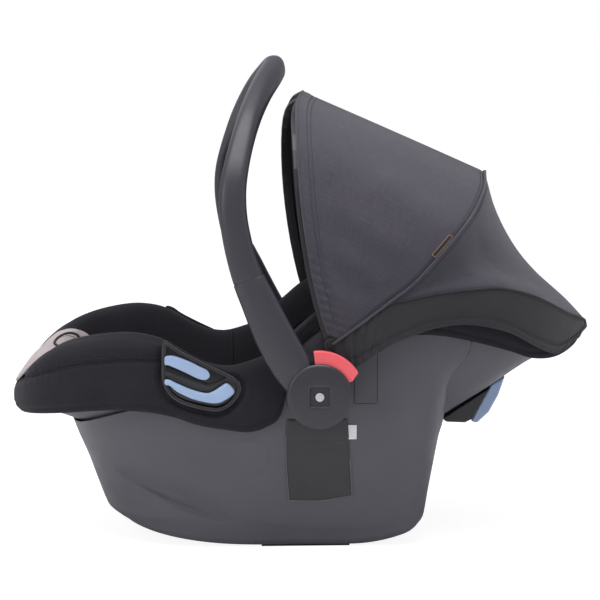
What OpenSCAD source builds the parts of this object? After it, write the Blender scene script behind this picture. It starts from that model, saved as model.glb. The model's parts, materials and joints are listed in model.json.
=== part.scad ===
// Infant car seat: rocker shell, padded cover, harness, folding canopy and turning carry handle.
// +X points to the head end, -Y is the child's left side, +Z is up, the floor is Z = 0.

/* [Shell] */
// Reach of the shell rim from the middle of the rocker flat toward the feet
foot_reach = 321; // [300:1:345]
// Reach of the shell rim toward the head
head_reach = 321; // [300:1:345]
// Height of the highest point of the shell rim
rim_h = 290; // [270:1:310]
// Width of the bucket across its side walls
bucket_w = 344; // [330:1:365]
// Wall thickness of the moulded shells
shell_wall = 4; // [3:0.5:5]
// Width of the flange that turns outward round the rim
flange_w = 6; // [5:0.5:8]
// Thickness of that flange
flange_h = 8; // [6:0.5:10]
// Width of the lip that the rocker stands on
lip_w = 18; // [14:1:24]

/* [Rocker] */
// Length of the flat that the seat stands on
flat_len = 100; // [80:1:120]
// Radius of the rocker toward the feet
rock_r_foot = 600; // [520:10:700]
// Radius of the rocker toward the head
rock_r_head = 170; // [150:5:220]
// Thickness of the rubber pads
pad_t = 2; // [1.5:0.5:3]
// Width of the rubber pads
pad_w = 12; // [8:1:14]

/* [Cushions] */
// Thickness of the foam liner
liner_t = 12; // [8:1:16]
// Thickness of the seat cushion
cushion_t = 9; // [6:1:12]
// Padding of the cover round the foot end
foot_pad_t = 9; // [6:1:11]
// Padding of the cover beside the handle and round the head
head_pad_t = 2.5; // [2:0.5:3]

/* [Handle] */
// Place of the handle's pivot along the seat
hub_x = 11; // [0:1:20]
// Height of the handle's pivot
hub_z = 183; // [175:1:190]
// Radius of the hub at the foot of each arm
hub_r = 36; // [34:1:40]
// Thickness of the arm at its hub
arm_t = 18; // [16:1:22]
// Thickness of the round cover on the hub
hub_cover_t = 5; // [4:0.5:6]
// Radius of the pivot pin
pin_r = 8; // [6:0.5:9]
// Length of the pivot boss that stands out of the shell
boss_len = 20; // [18:1:24]
// Distance from the pivot to the middle of the grip
grip_reach = 359; // [356:1:380]
// Height of the grip's oval section
grip_d = 32; // [26:1:36]
// Width of the grip's oval section
grip_w = 27; // [22:1:32]

/* [Release] */
// Outer radius of the release button's arc
release_r = 50; // [47:1:56]
// Angle of the lower end of the arc above the seat's long axis
release_a0 = 26; // [20:1:35]
// Angle of the upper end of the arc
release_a1 = 98; // [85:1:100]
// Thickness of the release button
release_t = 9; // [7:0.5:10]
// Travel of the release button
release_travel = 5; // [4:0.5:6]
// Number of teeth on the lock gear
lock_teeth = 12; // [8:1:16]

/* [Canopy] */
// Place of the canopy's pivot along the seat
bow_x = 25; // [22:1:30]
// Height of the canopy's pivot above the handle's pivot
bow_rise = 54; // [52:1:60]
// Height of the front bow above its pivot
bow_h = 272; // [255:1:275]
// Width of a bow's strip
bow_w = 12; // [10:1:14]
// Thickness of a bow's strip
bow_t = 2.5; // [2:0.5:3]
// Radius of the canopy's pivot pin
bow_pin_r = 4; // [3:0.5:5]
// Thickness of the canopy's cloth
cloth_t = 1.8; // [1.2:0.2:2.4]

/* [Harness] */
// Width of the harness webbing
web_w = 25; // [20:1:30]
// Thickness of the webbing
web_t = 1.5; // [1:0.1:2]
// Length of the buckle
buckle_l = 52; // [46:1:60]
// Width of the buckle
buckle_w = 42; // [38:1:50]
// Thickness of the buckle
buckle_t = 18; // [16:1:22]
// Travel of the buckle's push button
buckle_travel = 3; // [2:0.5:4]

/* [Fit] */
// Clearance between parts that turn or slide on each other
fit = 0.4; // [0.3:0.05:0.6]
// Gap between soft parts and what they cover
soft_gap = 0.6; // [0.4:0.1:1]

/* [Hidden] */

charcoal = "#4a494d";
plastic = "#56555a";
near_black = "#232126";
pale_grey = "#a89c9c";
light_blue = "#8fb4e0";
signal_red = "#e04b45";
steel = "#c8c8cc";
foam_white = "#e8e8e4";
tag_grey = "#bdbdbd";

// ---- Interpolation ----
function lerp(a, b, t) = a + (b - a) * t;
function clamp(v, lo, hi) = max(lo, min(hi, v));
function span(k, v, i = 0) = i >= len(k) - 2 || v < k[i + 1][0] ? i : span(k, v, i + 1);
function slope(k, i) =
    let (a = max(i - 1, 0), b = min(i + 1, len(k) - 1))
    (k[b][1] - k[a][1]) / (k[b][0] - k[a][0]);
// Smooth curve through knots [position, value], where a value is a number or a point
function curve(k, v) =
    let (x = clamp(v, k[0][0], k[len(k) - 1][0]), i = span(k, x), h = k[i + 1][0] - k[i][0])
    let (t = (x - k[i][0]) / h, t2 = t * t, t3 = t2 * t)
    k[i][1] * (2 * t3 - 3 * t2 + 1) + k[i + 1][1] * (3 * t2 - 2 * t3)
    + slope(k, i) * h * (t3 - 2 * t2 + t) + slope(k, i + 1) * h * (t3 - t2);
// Smooth path through a list of points, u counts points from 0
function path(points, u) = curve([for (i = [0 : len(points) - 1]) [i, points[i]]], u);
function unit(v) = v / norm(v);
function total(v) = [for (i = v) 1] * v;

// ---- Skins ----
// Solid through rings of points; closed joins the last ring to the first
module skin(rings, closed = false) {
    n = len(rings[0]);
    m = len(rings);
    points = [for (r = rings) for (p = r) p];
    sides = [
        for (i = [0 : m - (closed ? 1 : 2)], j = [0 : n - 1])
            let (a = i * n + j, b = i * n + (j + 1) % n)
            let (c = (i + 1) % m * n + (j + 1) % n, d = (i + 1) % m * n + j)
            each [[a, b, c], [a, c, d]]
    ];
    caps = closed ? [] : [
        for (e = [0, 1], j = [0 : floor(n / 2) - 2])
            let (o = e * (m - 1) * n, a = o + j, b = o + j + 1, c = o + n - 2 - j, d = o + n - 1 - j)
            each (e == 1 ? [[a, b, c], [a, c, d]] : [[c, b, a], [d, c, a]])
    ];
    // An odd ring leaves one triangle in the middle of each cap
    odd = closed || n % 2 == 0 ? [] : [
        for (e = [0, 1])
            let (o = e * (m - 1) * n + floor(n / 2))
            e == 1 ? [o - 1, o, o + 1] : [o + 1, o, o - 1]
    ];
    faces = concat(sides, caps, odd);
    volume = total([for (f = faces) cross(points[f[0]], points[f[1]]) * points[f[2]]]);
    polyhedron(points, volume < 0 ? faces : [for (f = faces) [f[2], f[1], f[0]]]);
}
// Rounded ring about a point of a sweep: u and v are its half axes, a larger n is boxier
function ring(p, u, v, n, count) = [
    for (i = [0 : count - 1])
        let (a = 360 * i / count, c = cos(a), s = sin(a))
        p + u * sign(c) * pow(abs(c), 2 / n) + v * sign(s) * pow(abs(s), 2 / n)
];
// Rings along a path: ref lies across the path, sizes holds [half along ref, half across it]
function sweep(points, ref, sizes, n = 2, count = 14) = [
    for (i = [0 : len(points) - 1])
        let (t = unit(points[min(i + 1, len(points) - 1)] - points[max(i - 1, 0)]))
        let (u = unit(ref - (ref * t) * t), v = cross(t, u))
        ring(points[i], u * sizes[i][0], v * sizes[i][1], n, count)
];
module both_sides(side) {
    if (side == "left") children();
    else mirror([0, 1, 0]) children();
}
// Turned part on an axis across the seat: from y0 outward on the left side
module across(x, y0, z) {
    translate([x, -y0, z]) rotate([90, 0, 0]) children();
}

// ---- Shell outline ----
// The outline points are drawn for these sizes and follow the driving ones
drawn_reach = 321;
drawn_rim_h = 290;
function at_x(x) = x * (x < 0 ? foot_reach : head_reach) / drawn_reach;
function from_x(x) = x * drawn_reach / (x < 0 ? foot_reach : head_reach);
function at_z(z) = z * rim_h / drawn_rim_h;
function along(k, x) = at_z(curve(k, from_x(x)));

half_w = bucket_w / 2;
rim_line = [
    [-321, 165], [-300, 188], [-254, 225], [-200, 235], [-150, 228], [-100, 205], [-75, 198],
    [-45, 212], [-10, 243], [20, 266], [60, 282], [110, 288], [190, 290], [250, 278], [300, 252],
    [321, 235]
];
keel_line = [
    [-321, 150], [-250, 128], [-150, 80], [-60, 48], [0, 45], [60, 68], [110, 98], [164, 134],
    [224, 171], [260, 196], [321, 222]
];
function rim_z(x) = along(rim_line, x);
function keel_z(x) = along(keel_line, x);

// Plan of the rim: half ellipses at both ends of a straight side
plan_n = 2.2;
foot_turn = at_x(-100);
head_turn = at_x(100);
foot_steps = 12;
side_steps = 12;
head_steps = 12;
half_steps = foot_steps + side_steps + head_steps;
function bend(a, n) = [pow(cos(a), 2 / n), pow(sin(a), 2 / n)];
// Point k of half the rim, out moves it outward
function plan(k, out = 0) =
    k < foot_steps ?
        let (c = bend(90 * k / foot_steps, plan_n))
        [foot_turn - (foot_reach + foot_turn + out) * c[0], (half_w + out) * c[1]]
    : k <= foot_steps + side_steps ?
        [lerp(foot_turn, head_turn, (k - foot_steps) / side_steps), half_w + out]
    :
        let (c = bend(90 * (half_steps - k) / head_steps, plan_n))
        [head_turn + (head_reach - head_turn + out) * c[0], (half_w + out) * c[1]];
// Half width of the rim at x
function rim_w(x, out = 0) =
    let (
        a = x < foot_turn ? (foot_turn - x) / (foot_reach + foot_turn + out)
            : x > head_turn ? (x - head_turn) / (head_reach - head_turn + out) : 0
    )
    (half_w + out) * pow(max(0, 1 - pow(a, plan_n)), 1 / plan_n);
// Whole loop from a function of half its steps
function loop(steps, f) = [
    for (i = [0 : 2 * steps - 1])
        let (k = i <= steps ? i : 2 * steps - i, p = f(k))
        [p[0], i <= steps ? -p[1] : p[1], p[2]]
];

// ---- Bucket ----
bowl_n = 2.6;
slope_factor = 1.18;
// Point of the bucket below station k: g is 0 at the rim and 90 at the keel
function bowl(k, g, inset, drop) =
    let (p = plan(k, -inset), c = bend(g, bowl_n), top = rim_z(plan(k)[0]) - drop)
    let (low = min(keel_z(p[0]) + inset * slope_factor, top - 2))
    [p[0], p[1] * c[0], top - (top - low) * c[1]];
// Height of a bucket surface above a place inside it
function bowl_z(x, y, inset, drop = 0) =
    let (w = rim_w(x, -inset), top = rim_z(x) - drop, low = keel_z(x) + inset * slope_factor)
    top - (top - low) * pow(max(0, 1 - pow(min(1, abs(y) / w), bowl_n)), 1 / bowl_n);

bowl_levels = [86, 79, 71, 62, 53, 44, 35, 26, 17, 9];
module bucket_shell() {
    color(plastic) skin(concat(
        [for (g = bowl_levels) loop(half_steps, function (k) bowl(k, g, 0, flange_h))],
        [loop(half_steps, function (k) bowl(k, 0, 0, flange_h))],
        [loop(half_steps, function (k)
            let (p = plan(k, flange_w)) [p[0], p[1], rim_z(plan(k)[0]) - flange_h])],
        [loop(half_steps, function (k)
            let (p = plan(k, flange_w)) [p[0], p[1], rim_z(plan(k)[0]) - 1.5])],
        [loop(half_steps, function (k)
            let (p = plan(k, flange_w - 1.5)) [p[0], p[1], rim_z(plan(k)[0])])],
        [loop(half_steps, function (k) bowl(k, 0, shell_wall, 0))],
        [for (i = [len(bowl_levels) - 1 : -1 : 0])
            loop(half_steps, function (k) bowl(k, bowl_levels[i], shell_wall, 0))]
    ));
}

// ---- Base skirt ----
foot_wall = [[0, -200], [24, -213], [36, -229], [90, -251], [136, -269], [290, -300]];
head_wall = [[0, 126], [21, 138], [33, 142], [57, 146], [90, 152], [123, 158], [140, 163], [165, 166.5],
    [192, 178], [231, 221], [290, 226]];
// Distance of the side wall outside or inside the bucket's own side
side_wall = [[0, -34], [40, -24], [90, -11], [130, 1.5], [150, 4.1], [175, 4.4], [290, 4.4]];
function foot_x(z) = at_x(curve(foot_wall, z * drawn_rim_h / rim_h));
function head_x(z) = at_x(curve(head_wall, z * drawn_rim_h / rim_h));
// The wall stands just outside the bucket, so it follows the shell's wall
function side_y(z) = half_w + curve(side_wall, z * drawn_rim_h / rim_h) + shell_wall - 4;
skirt_foot_turn = at_x(-60);
skirt_head_turn = at_x(108);
skirt_foot_n = 2.4;
skirt_head_n = 3.2;
skirt_foot_steps = 22;
skirt_side_steps = 10;
skirt_head_steps = 12;
skirt_steps = skirt_foot_steps + skirt_side_steps + skirt_head_steps;
// Point k of half the skirt's plan at height z
function skirt_plan(k, z, inset = 0) =
    k < skirt_foot_steps ?
        let (c = bend(90 * k / skirt_foot_steps, skirt_foot_n))
        [skirt_foot_turn - (skirt_foot_turn - foot_x(z) - inset) * c[0], (side_y(z) - inset) * c[1]]
    : k <= skirt_foot_steps + skirt_side_steps ?
        let (t = (k - skirt_foot_steps) / skirt_side_steps)
        [lerp(skirt_foot_turn, skirt_head_turn, t), side_y(z) - inset]
    :
        let (c = bend(90 * (skirt_steps - k) / skirt_head_steps, skirt_head_n))
        [skirt_head_turn + (head_x(z) - skirt_head_turn - inset) * c[0], (side_y(z) - inset) * c[1]];
function rocker_z(x) =
    let (over = max(0, abs(x) - flat_len / 2), r = x < 0 ? rock_r_foot : rock_r_head)
    pad_t + r - sqrt(r * r - over * over);
// Height of the wall's foot and of its top at station k
function skirt_low(k, inset = 0, n = 3, z = 20) =
    n == 0 ? z : skirt_low(k, inset, n - 1, rocker_z(skirt_plan(k, z, inset)[0]));
function under_bucket(x, y) =
    bowl_z(x, abs(y) >= rim_w(x) - 0.5 ? rim_w(x) : y, 0, flange_h) - 3 * soft_gap;
function skirt_top(k, inset = 0, n = 4, z = 180) =
    n == 0 ? z
    : let (p = skirt_plan(k, z, inset)) skirt_top(k, inset, n - 1, under_bucket(p[0], p[1]));
// Long shallow scoop low on each side of the foot end
scoop_mid = [-146, 68];
scoop_half = [82, 19];
scoop_turn = -30;
scoop_depth = 5;
function scoop(x, z) =
    let (dx = from_x(x) - scoop_mid[0], dz = z - scoop_mid[1])
    let (u = (dx * cos(scoop_turn) + dz * sin(scoop_turn)) / scoop_half[0])
    let (v = (dz * cos(scoop_turn) - dx * sin(scoop_turn)) / scoop_half[1])
    scoop_depth * pow(max(0, 1 - u * u - v * v), 0.7);
function skirt_point(k, z, inset = 0) =
    let (p = skirt_plan(k, z, inset), sink = scoop(p[0], z))
    [p[0] + sink * 0.3, max(0, p[1] - sink), z];
// Rings of the wall: below the waist they lie level, above it they rise to the bucket
waist_z = at_z(118);
lower_rings = 10;
edge_r = 5;
function skirt_ring(inset, rise, g) = loop(skirt_steps, function (k)
    let (low = skirt_low(k, inset) + rise)
    skirt_point(k, g <= 1 ? lerp(low, waist_z, g) : lerp(waist_z, skirt_edge(k, inset), g - 1), inset));
// Under the cover the edge keeps to the lowest of its neighbours, clear of the bucket
function skirt_edge(k, inset) =
    k == 0 || k > skirt_foot_steps ? skirt_top(k, inset)
    : min([for (i = [-1 : 1]) skirt_top(k + i, inset)]);
module base_skirt() {
    outer = [for (g = [0 : 1 / lower_rings : 0.99], h = [g]) skirt_ring(0, edge_r, h),
        for (g = [1, 1.3, 1.6, 2]) skirt_ring(0, edge_r, g)];
    inner = [for (g = [2, 1.5, 1, 0.7, 0.4, 0.1]) skirt_ring(shell_wall, shell_wall, g)];
    lip = [for (s = [[shell_wall, shell_wall], [lip_w, shell_wall], [lip_w, 0], [edge_r, 0]])
        loop(skirt_steps, function (k)
            let (low = skirt_low(k, s[0]), p = skirt_plan(k, low, s[0])) [p[0], p[1], low + s[1]])];
    heel = [loop(skirt_steps, function (k)
        let (low = skirt_low(k, 1.5), p = skirt_plan(k, low, 1.5)) [p[0], p[1], low + 1.5])];
    color(plastic) skin(concat(inner, lip, heel, outer), closed = true);
}

// ---- Rocker pads ----
module rocker_pad(side) {
    y = side_y(pad_t) - lip_w / 2 - edge_r / 2;
    both_sides(side) color(near_black)
        translate([-flat_len / 2, -y - pad_w / 2, 0]) cube([flat_len, pad_w, pad_t]);
}

// ---- Shell screws ----
screw_head_r = 3.4;
screw_head_h = 2;
screw_places = [4, 12, 20, 28];
module shell_screws() {
    color(steel) for (k = screw_places, s = [-1, 1]) {
        p = plan(k, flange_w / 2 - 1);
        tilt = atan2(rim_z(p[0] + screw_head_r) - rim_z(p[0] - screw_head_r), 2 * screw_head_r);
        translate([p[0], s * p[1], rim_z(p[0])]) rotate([0, -tilt, 0])
            cylinder(r = screw_head_r, h = screw_head_h, $fn = 24);
    }
}

// ---- Foam liner and seat cushion ----
liner_in = shell_wall + 2 * soft_gap;
cushion_in = liner_in + liner_t + 3 * soft_gap;
seat_in = cushion_in + cushion_t;
cushion_foot = at_x(-262);
cushion_head = at_x(283);
// Bowed strip across the seat at x: from inset a down to inset b, its edges at height z
function strip(x, a, b, edge, count = 13) =
    let (outer = strip_arc(x, b, edge, count), inner = strip_arc(x, a, edge, count))
    concat(outer, [for (i = [count - 1 : -1 : 0]) inner[i]]);
function strip_arc(x, inset, edge, count) =
    let (top = rim_z(x), low = keel_z(x) + inset * slope_factor, w = rim_w(x, -inset))
    let (g0 = asin(pow(clamp((top - edge) / (top - low), 0.05, 0.9), bowl_n / 2)))
    [for (i = [0 : count - 1])
        let (g = lerp(g0, 180 - g0, i / (count - 1)), c = bend(g > 90 ? 180 - g : g, bowl_n))
        [x, (g > 90 ? 1 : -1) * w * c[0], top - (top - low) * c[1]]];
module bowed_pad(x0, x1, a, b, steps) {
    skin([for (i = [0 : steps]) let (x = lerp(x0, x1, i / steps)) strip(x, a, b, pad_edge(x))]);
}
// Height where the cushion meets the cover's inner edge
function pad_edge(x) = crest_z(x) - cover_depth(x) - 2.5;
module foam_liner() {
    color(foam_white) bowed_pad(cushion_foot, cushion_head, liner_in + liner_t, liner_in, 22);
}
module seat_cushion() {
    color(near_black) bowed_pad(cushion_foot, cushion_head, seat_in, cushion_in, 22);
}
head_cushion_t = 14;
head_cushion_x = [178, 266];
module head_cushion() {
    color(charcoal) skin([for (i = [0 : 10])
        let (x = at_x(lerp(head_cushion_x[0], head_cushion_x[1], i / 10)))
        let (edge = lerp(seat_top(x, 0), pad_edge(x), 0.62))
        strip(x, seat_in + soft_gap + head_cushion_t * (0.55 + 0.45 * sin(18 * i)),
            seat_in + 2 * soft_gap, edge, 11)]);
}
// Height of the cushion's top
function seat_top(x, y) = bowl_z(x, y, seat_in);

// ---- Cover round the rim ----
crest_line = [
    [-321, 180], [-300, 210], [-280, 229], [-255, 240], [-220, 247], [-190, 248], [-160, 241],
    [-120, 219], [-90, 212], [-65, 217], [-45, 226], [-12, 254], [10, 272], [40, 286], [80, 292],
    [150, 296], [200, 296], [250, 286], [300, 261], [321, 243]
];
cover_low_line = [
    [-321, 143], [-277, 152], [-219, 161], [-175, 161], [-147, 156], [-120, 147], [-92, 142],
    [-65, 139], [-45, 145], [-30, 158], [-22, 190], [-12, 230], [4, 251], [46, 251], [62, 243],
    [90, 245], [132, 246], [158, 243], [194, 234], [225, 224], [252, 212], [283, 207], [321, 221]
];
function crest_z(x) = along(crest_line, x);
function cover_low(x) = along(cover_low_line, x);
function cover_depth(x) = min(50, 0.45 * (crest_z(x) - keel_z(x) - shell_wall));
function cover_pad(x) = lerp(foot_pad_t, head_pad_t, clamp((from_x(x) + 90) / 80, 0, 1));
// The cover lies thin in the two windows that the belt guides sit in
window_mid = at_x(-118);
window_half = 40;
function window(x) = max(0, 1 - pow(abs(x - window_mid) / window_half, 4));
cover_steps = half_steps;
// Section of the cover over the rim: [outward place, height] from the outer edge over the crest
function cover_over(x) =
    let (low = cover_low(x), top = crest_z(x), pad = cover_pad(x), depth = cover_depth(x))
    let (bulge = flange_w + soft_gap + lerp(pad, 1.5, window(x)))
    [
        [flange_w + soft_gap + pad * 0.35, low],
        [bulge, lerp(low, top, 0.18)],
        [bulge + pad * 0.1 * (1 - window(x)), lerp(low, top, 0.45)],
        [bulge, lerp(low, top, 0.66)],
        [flange_w + lerp(pad * 0.6, 1.5, window(x)), lerp(low, top, 0.87)],
        [flange_w - 3, lerp(low, top, 0.97)],
        [-5, top],
        [-13, top - depth * 0.12],
        [-18, top - depth * 0.45],
        [-20 - lean(x, top - depth), top - depth]
    ];
// How far the bucket's wall has come in from the rim at height z
function lean(x, z) =
    let (f = clamp((rim_z(x) - z) / (rim_z(x) - keel_z(x)), 0, 0.9))
    rim_w(x) * (1 - pow(1 - pow(f, bowl_n), 1 / bowl_n));
// Room over the shell's flange for the heads of its screws
screw_room = screw_head_h + 3 * soft_gap;
function cover_under(x) =
    let (top = rim_z(x), low = cover_low(x), depth = cover_depth(x), edge = crest_z(x) - depth)
    [
        [-shell_wall - 2 * soft_gap - lean(x, edge), edge],
        [-shell_wall - 2 * soft_gap - lean(x, (top + edge) / 2), max((top + edge) / 2, edge + 1)],
        [-shell_wall - soft_gap, top + screw_room],
        [flange_w + soft_gap, top + screw_room],
        [flange_w + soft_gap, min(top - flange_h - soft_gap, low + 60)],
        [flange_w + soft_gap - 0.5, low + 0.5]
    ];
module seat_cover() {
    section = [for (k = [0 : cover_steps]) let (x = plan(k)[0]) concat(cover_over(x), cover_under(x))];
    color(near_black) skin([for (j = [0 : len(section[0]) - 1])
        loop(cover_steps, function (k)
            let (s = section[k][j], p = plan(k, s[0])) [p[0], p[1], s[1]])], closed = true);
}
// Pale panel over the cover's foot end
panel_steps = 8;
panel_t = 1.5;
function panel_ring(k, lift) =
    let (x = plan(k)[0], over = cover_over(x))
    [for (j = [3 : len(over) - 1]) let (p = plan(k, over[j][0] + (j > 6 ? -lift : lift)))
        [p[0], p[1], over[j][1] + (j == 6 ? lift : j == len(over) - 1 ? 3 : 0)]];
module foot_panel() {
    color(pale_grey) skin([for (i = [-panel_steps : panel_steps])
        let (k = abs(i), s = i < 0 ? -1 : 1)
        let (outer = panel_ring(k, soft_gap + panel_t), inner = panel_ring(k, soft_gap))
        [for (p = concat(outer, [for (j = [len(inner) - 1 : -1 : 0]) inner[j]])) [p[0], s * p[1], p[2]]]
    ]);
}

// ---- Belt guides ----
guide_t = 7;
guide_bar = 10;
guide_y = half_w + flange_w + soft_gap + 4.4;
// Rounded bar through points on the seat's side
module side_bar(points, w, y0, t) {
    for (i = [0 : len(points) - 2])
        across(0, y0, 0) linear_extrude(t) hull()
            for (p = [points[i], points[i + 1]]) translate(p) circle(d = w, $fn = 24);
}
guide_line = [[-110, 204], [-150, 221], [-152, 197], [-112, 179], [-90, 187]];
module belt_guide(side) {
    both_sides(side) color(light_blue)
        side_bar([for (p = guide_line) [at_x(p[0]), at_z(p[1])]], guide_bar, guide_y, guide_t);
}
rear_guide_w = 60;
rear_bracket_w = 90;
rear_bracket = [[165, 131], [170, 127], [192, 126], [200, 130], [222, 168]];
rear_guide = [[224, 168], [241, 179], [233, 156], [222, 136], [208, 123], [201, 125], [206, 135]];
module cross_plate(points, w) {
    translate([0, w / 2, 0]) rotate([90, 0, 0])
        linear_extrude(w) polygon([for (p = points) [at_x(p[0]), at_z(p[1])]]);
}
module rear_guide_bracket() {
    color(near_black) cross_plate(rear_bracket, rear_bracket_w);
}
module rear_belt_guide() {
    color(light_blue) cross_plate(rear_guide, rear_guide_w);
}

// ---- Plates and tags on the side walls ----
plate_t = 1.5;
boss_r = 29;
// Thin plate that follows the side wall between two heights
module wall_plate(x0, x1, z0, z1, t) {
    heights = [for (i = [0 : 8]) lerp(z0, z1, i / 8)];
    skin([for (x = [x0, x1]) concat(
        [for (z = heights) [x, -side_y(z) - 0.1, z]],
        [for (i = [8 : -1 : 0]) [x, -side_y(heights[i]) - t, heights[i]]]
    )]);
}
// Places of the plates from the handle's pivot: [x from, x to, z from, z to]
side_plate_at = [-30, 39, -122, -boss_r - 2];
adapter_cover_at = [41, 66, -13, 50];
side_tag_at = [39.5, 50, -53, -37];
module plate_at(a) {
    wall_plate(hub_x + a[0], hub_x + a[1], hub_z + a[2], hub_z + a[3], plate_t);
}
module side_plate(side) {
    both_sides(side) color(near_black) plate_at(side_plate_at);
}
module adapter_cover(side) {
    both_sides(side) color(charcoal) plate_at(adapter_cover_at);
}
module side_tags() {
    color(tag_grey) for (side = ["left", "right"])
        both_sides(side) plate_at(side_tag_at);
}

// ---- Pivot bosses and lock gears ----
boss_y = half_w + shell_wall + 0.5;
hub_y = boss_y + boss_len + 0.5;
cover_y = hub_y + arm_t;
gear_r = 24;
gear_tooth = 3;
gear_t = 10;
// How deep a gear sits in the arm, and the room left behind it
gear_in = 5;
gear_room = 1;
gear_y = hub_y - gear_t + gear_in;
gear_travel = 6;
module gear_outline(gap) {
    teeth = 2 * lock_teeth;
    polygon([for (i = [0 : 2 * teeth - 1])
        let (a = 360 * (i + 0.5) / (2 * teeth), r = floor(i / 2) % 2 == 0 ? gear_r : gear_r - gear_tooth)
        (r + gap) * [cos(a), sin(a)]]);
}
module pivot_boss(side) {
    pocket = gear_y - gear_travel - gear_room;
    both_sides(side) color(plastic) {
        difference() {
            across(hub_x, boss_y, hub_z) cylinder(r = boss_r, h = boss_len, $fn = 64);
            across(hub_x, pocket, hub_z) linear_extrude(boss_len) gear_outline(fit);
        }
        across(hub_x, pocket - 1, hub_z) cylinder(r = pin_r, h = cover_y - 2 - pocket, $fn = 48);
    }
}
module lock_gear(side) {
    both_sides(side) color(steel) difference() {
        across(hub_x, gear_y, hub_z) linear_extrude(gear_t) gear_outline(0);
        across(hub_x, gear_y - 1, hub_z) cylinder(r = pin_r + fit, h = gear_t + 2, $fn = 48);
    }
}

// ---- Handle ----
grip_angle = 97.5;
// Left half of the handle from its hub up to the middle of the grip: [x, z] from the pivot, y
handle_line = [
    [-12, 12, 0], [-31, 34, 0], [-50, 68, 0], [-67.5, 107, 0], [-77, 128, 0], [-85, 152, 0],
    [-90.5, 176, 0], [-94, 200, -2], [-94, 226, -6], [-90, 250, -17], [-83.5, 275, -37],
    [-75.5, 299, -64], [-66.5, 319, -96], [-57, 336, -128], [-48, 348, -160], [-43, 355, -188],
    [-41.5, 356.5, -206]
];
// The arm ends and the bar begins at this point of the line
handle_split = 4;
drawn_grip_reach = 359;
arm_y = hub_y + arm_t / 2;
function handle_point(p) =
    let (k = lerp(1, grip_reach / drawn_grip_reach, clamp(p[1] / 250, 0, 1)))
    [hub_x + p[0] * k, -arm_y * (1 + p[2] / 206), hub_z + p[1] * k];
handle_ref = [cos(grip_angle - 90), 0, sin(grip_angle - 90)];
arm_half = [[0, 22], [60, 22], [105, 19.5], [150, 16.6], [220, 15.2], [280, grip_w / 2], [400, grip_w / 2]];
function arm_size(z) = [curve(arm_half, z),
    lerp(arm_t / 2, grip_d / 2, clamp((z - 260) / 80, 0, 1))];
// Rings of the whole handle from one hub to the other, two for each point of the line
function handle_rings() =
    let (n = 2 * (len(handle_line) - 1), line = [for (p = handle_line) handle_point(p)])
    let (half = [for (i = [0 : n]) path(line, i / 2)])
    let (points = concat(half, [for (i = [n - 1 : -1 : 0]) across_seat(half[i])]))
    sweep(points, handle_ref, [for (p = points) arm_size(p[2] - hub_z)], 2.4, 16);
// The end ring drawn in a little, which leaves a groove along the split
split_groove = 0.96;
function drawn_in(r) = let (c = total(r) / len(r)) [for (p = r) c + (p - c) * split_groove];
function near_ring(a, b) = [for (i = [0 : len(a) - 1]) lerp(a[i], b[i], 0.08)];
module handle_bar() {
    rings = handle_rings();
    a = 2 * handle_split;
    b = len(rings) - 1 - a;
    color(plastic) skin(concat(
        [drawn_in(rings[a]), near_ring(rings[a], rings[a + 1])],
        [for (i = [a + 1 : b - 1]) rings[i]],
        [near_ring(rings[b], rings[b - 1]), drawn_in(rings[b])]
    ));
}
// Sector of a disc between two radii and two angles
module sector(r0, r1, a0, a1, h) {
    steps = 12;
    linear_extrude(h) polygon(concat(
        [for (i = [0 : steps]) let (a = lerp(a0, a1, i / steps)) r1 * [cos(a), sin(a)]],
        [for (i = [steps : -1 : 0]) let (a = lerp(a0, a1, i / steps)) r0 * [cos(a), sin(a)]]
    ));
}
release_dir = (release_a0 + release_a1) / 2;
release_y = hub_y + gear_in + 2 * gear_room;
core_r = 20;
// Room round a button's ends, and behind it when it is pressed in
release_room_a = 9;
release_room = 3;
module handle_arm(side) {
    rings = handle_rings();
    a = 2 * handle_split;
    both_sides(side) color(plastic) difference() {
        union() {
            skin(concat([for (i = [0 : a - 1]) rings[i]],
                [near_ring(rings[a], rings[a - 1]), drawn_in(rings[a])]));
            across(hub_x, hub_y, hub_z) cylinder(r = hub_r, h = arm_t, $fn = 96);
        }
        across(hub_x, hub_y - 1, hub_z) cylinder(r = pin_r + fit, h = arm_t + 2, $fn = 48);
        across(hub_x, hub_y - 1, hub_z)
            cylinder(r = gear_r + 2 * fit, h = gear_in + gear_room + 0.5, $fn = 64);
        across(hub_x, release_y - fit, hub_z)
            sector(core_r, release_r + 2, release_a0 - release_room_a, release_a1 + release_room_a, arm_t);
    }
}
module release_button(side) {
    both_sides(side) color(signal_red) across(hub_x, release_y, hub_z)
        sector(core_r + release_travel + release_room, release_r, release_a0, release_a1, release_t);
}
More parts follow.
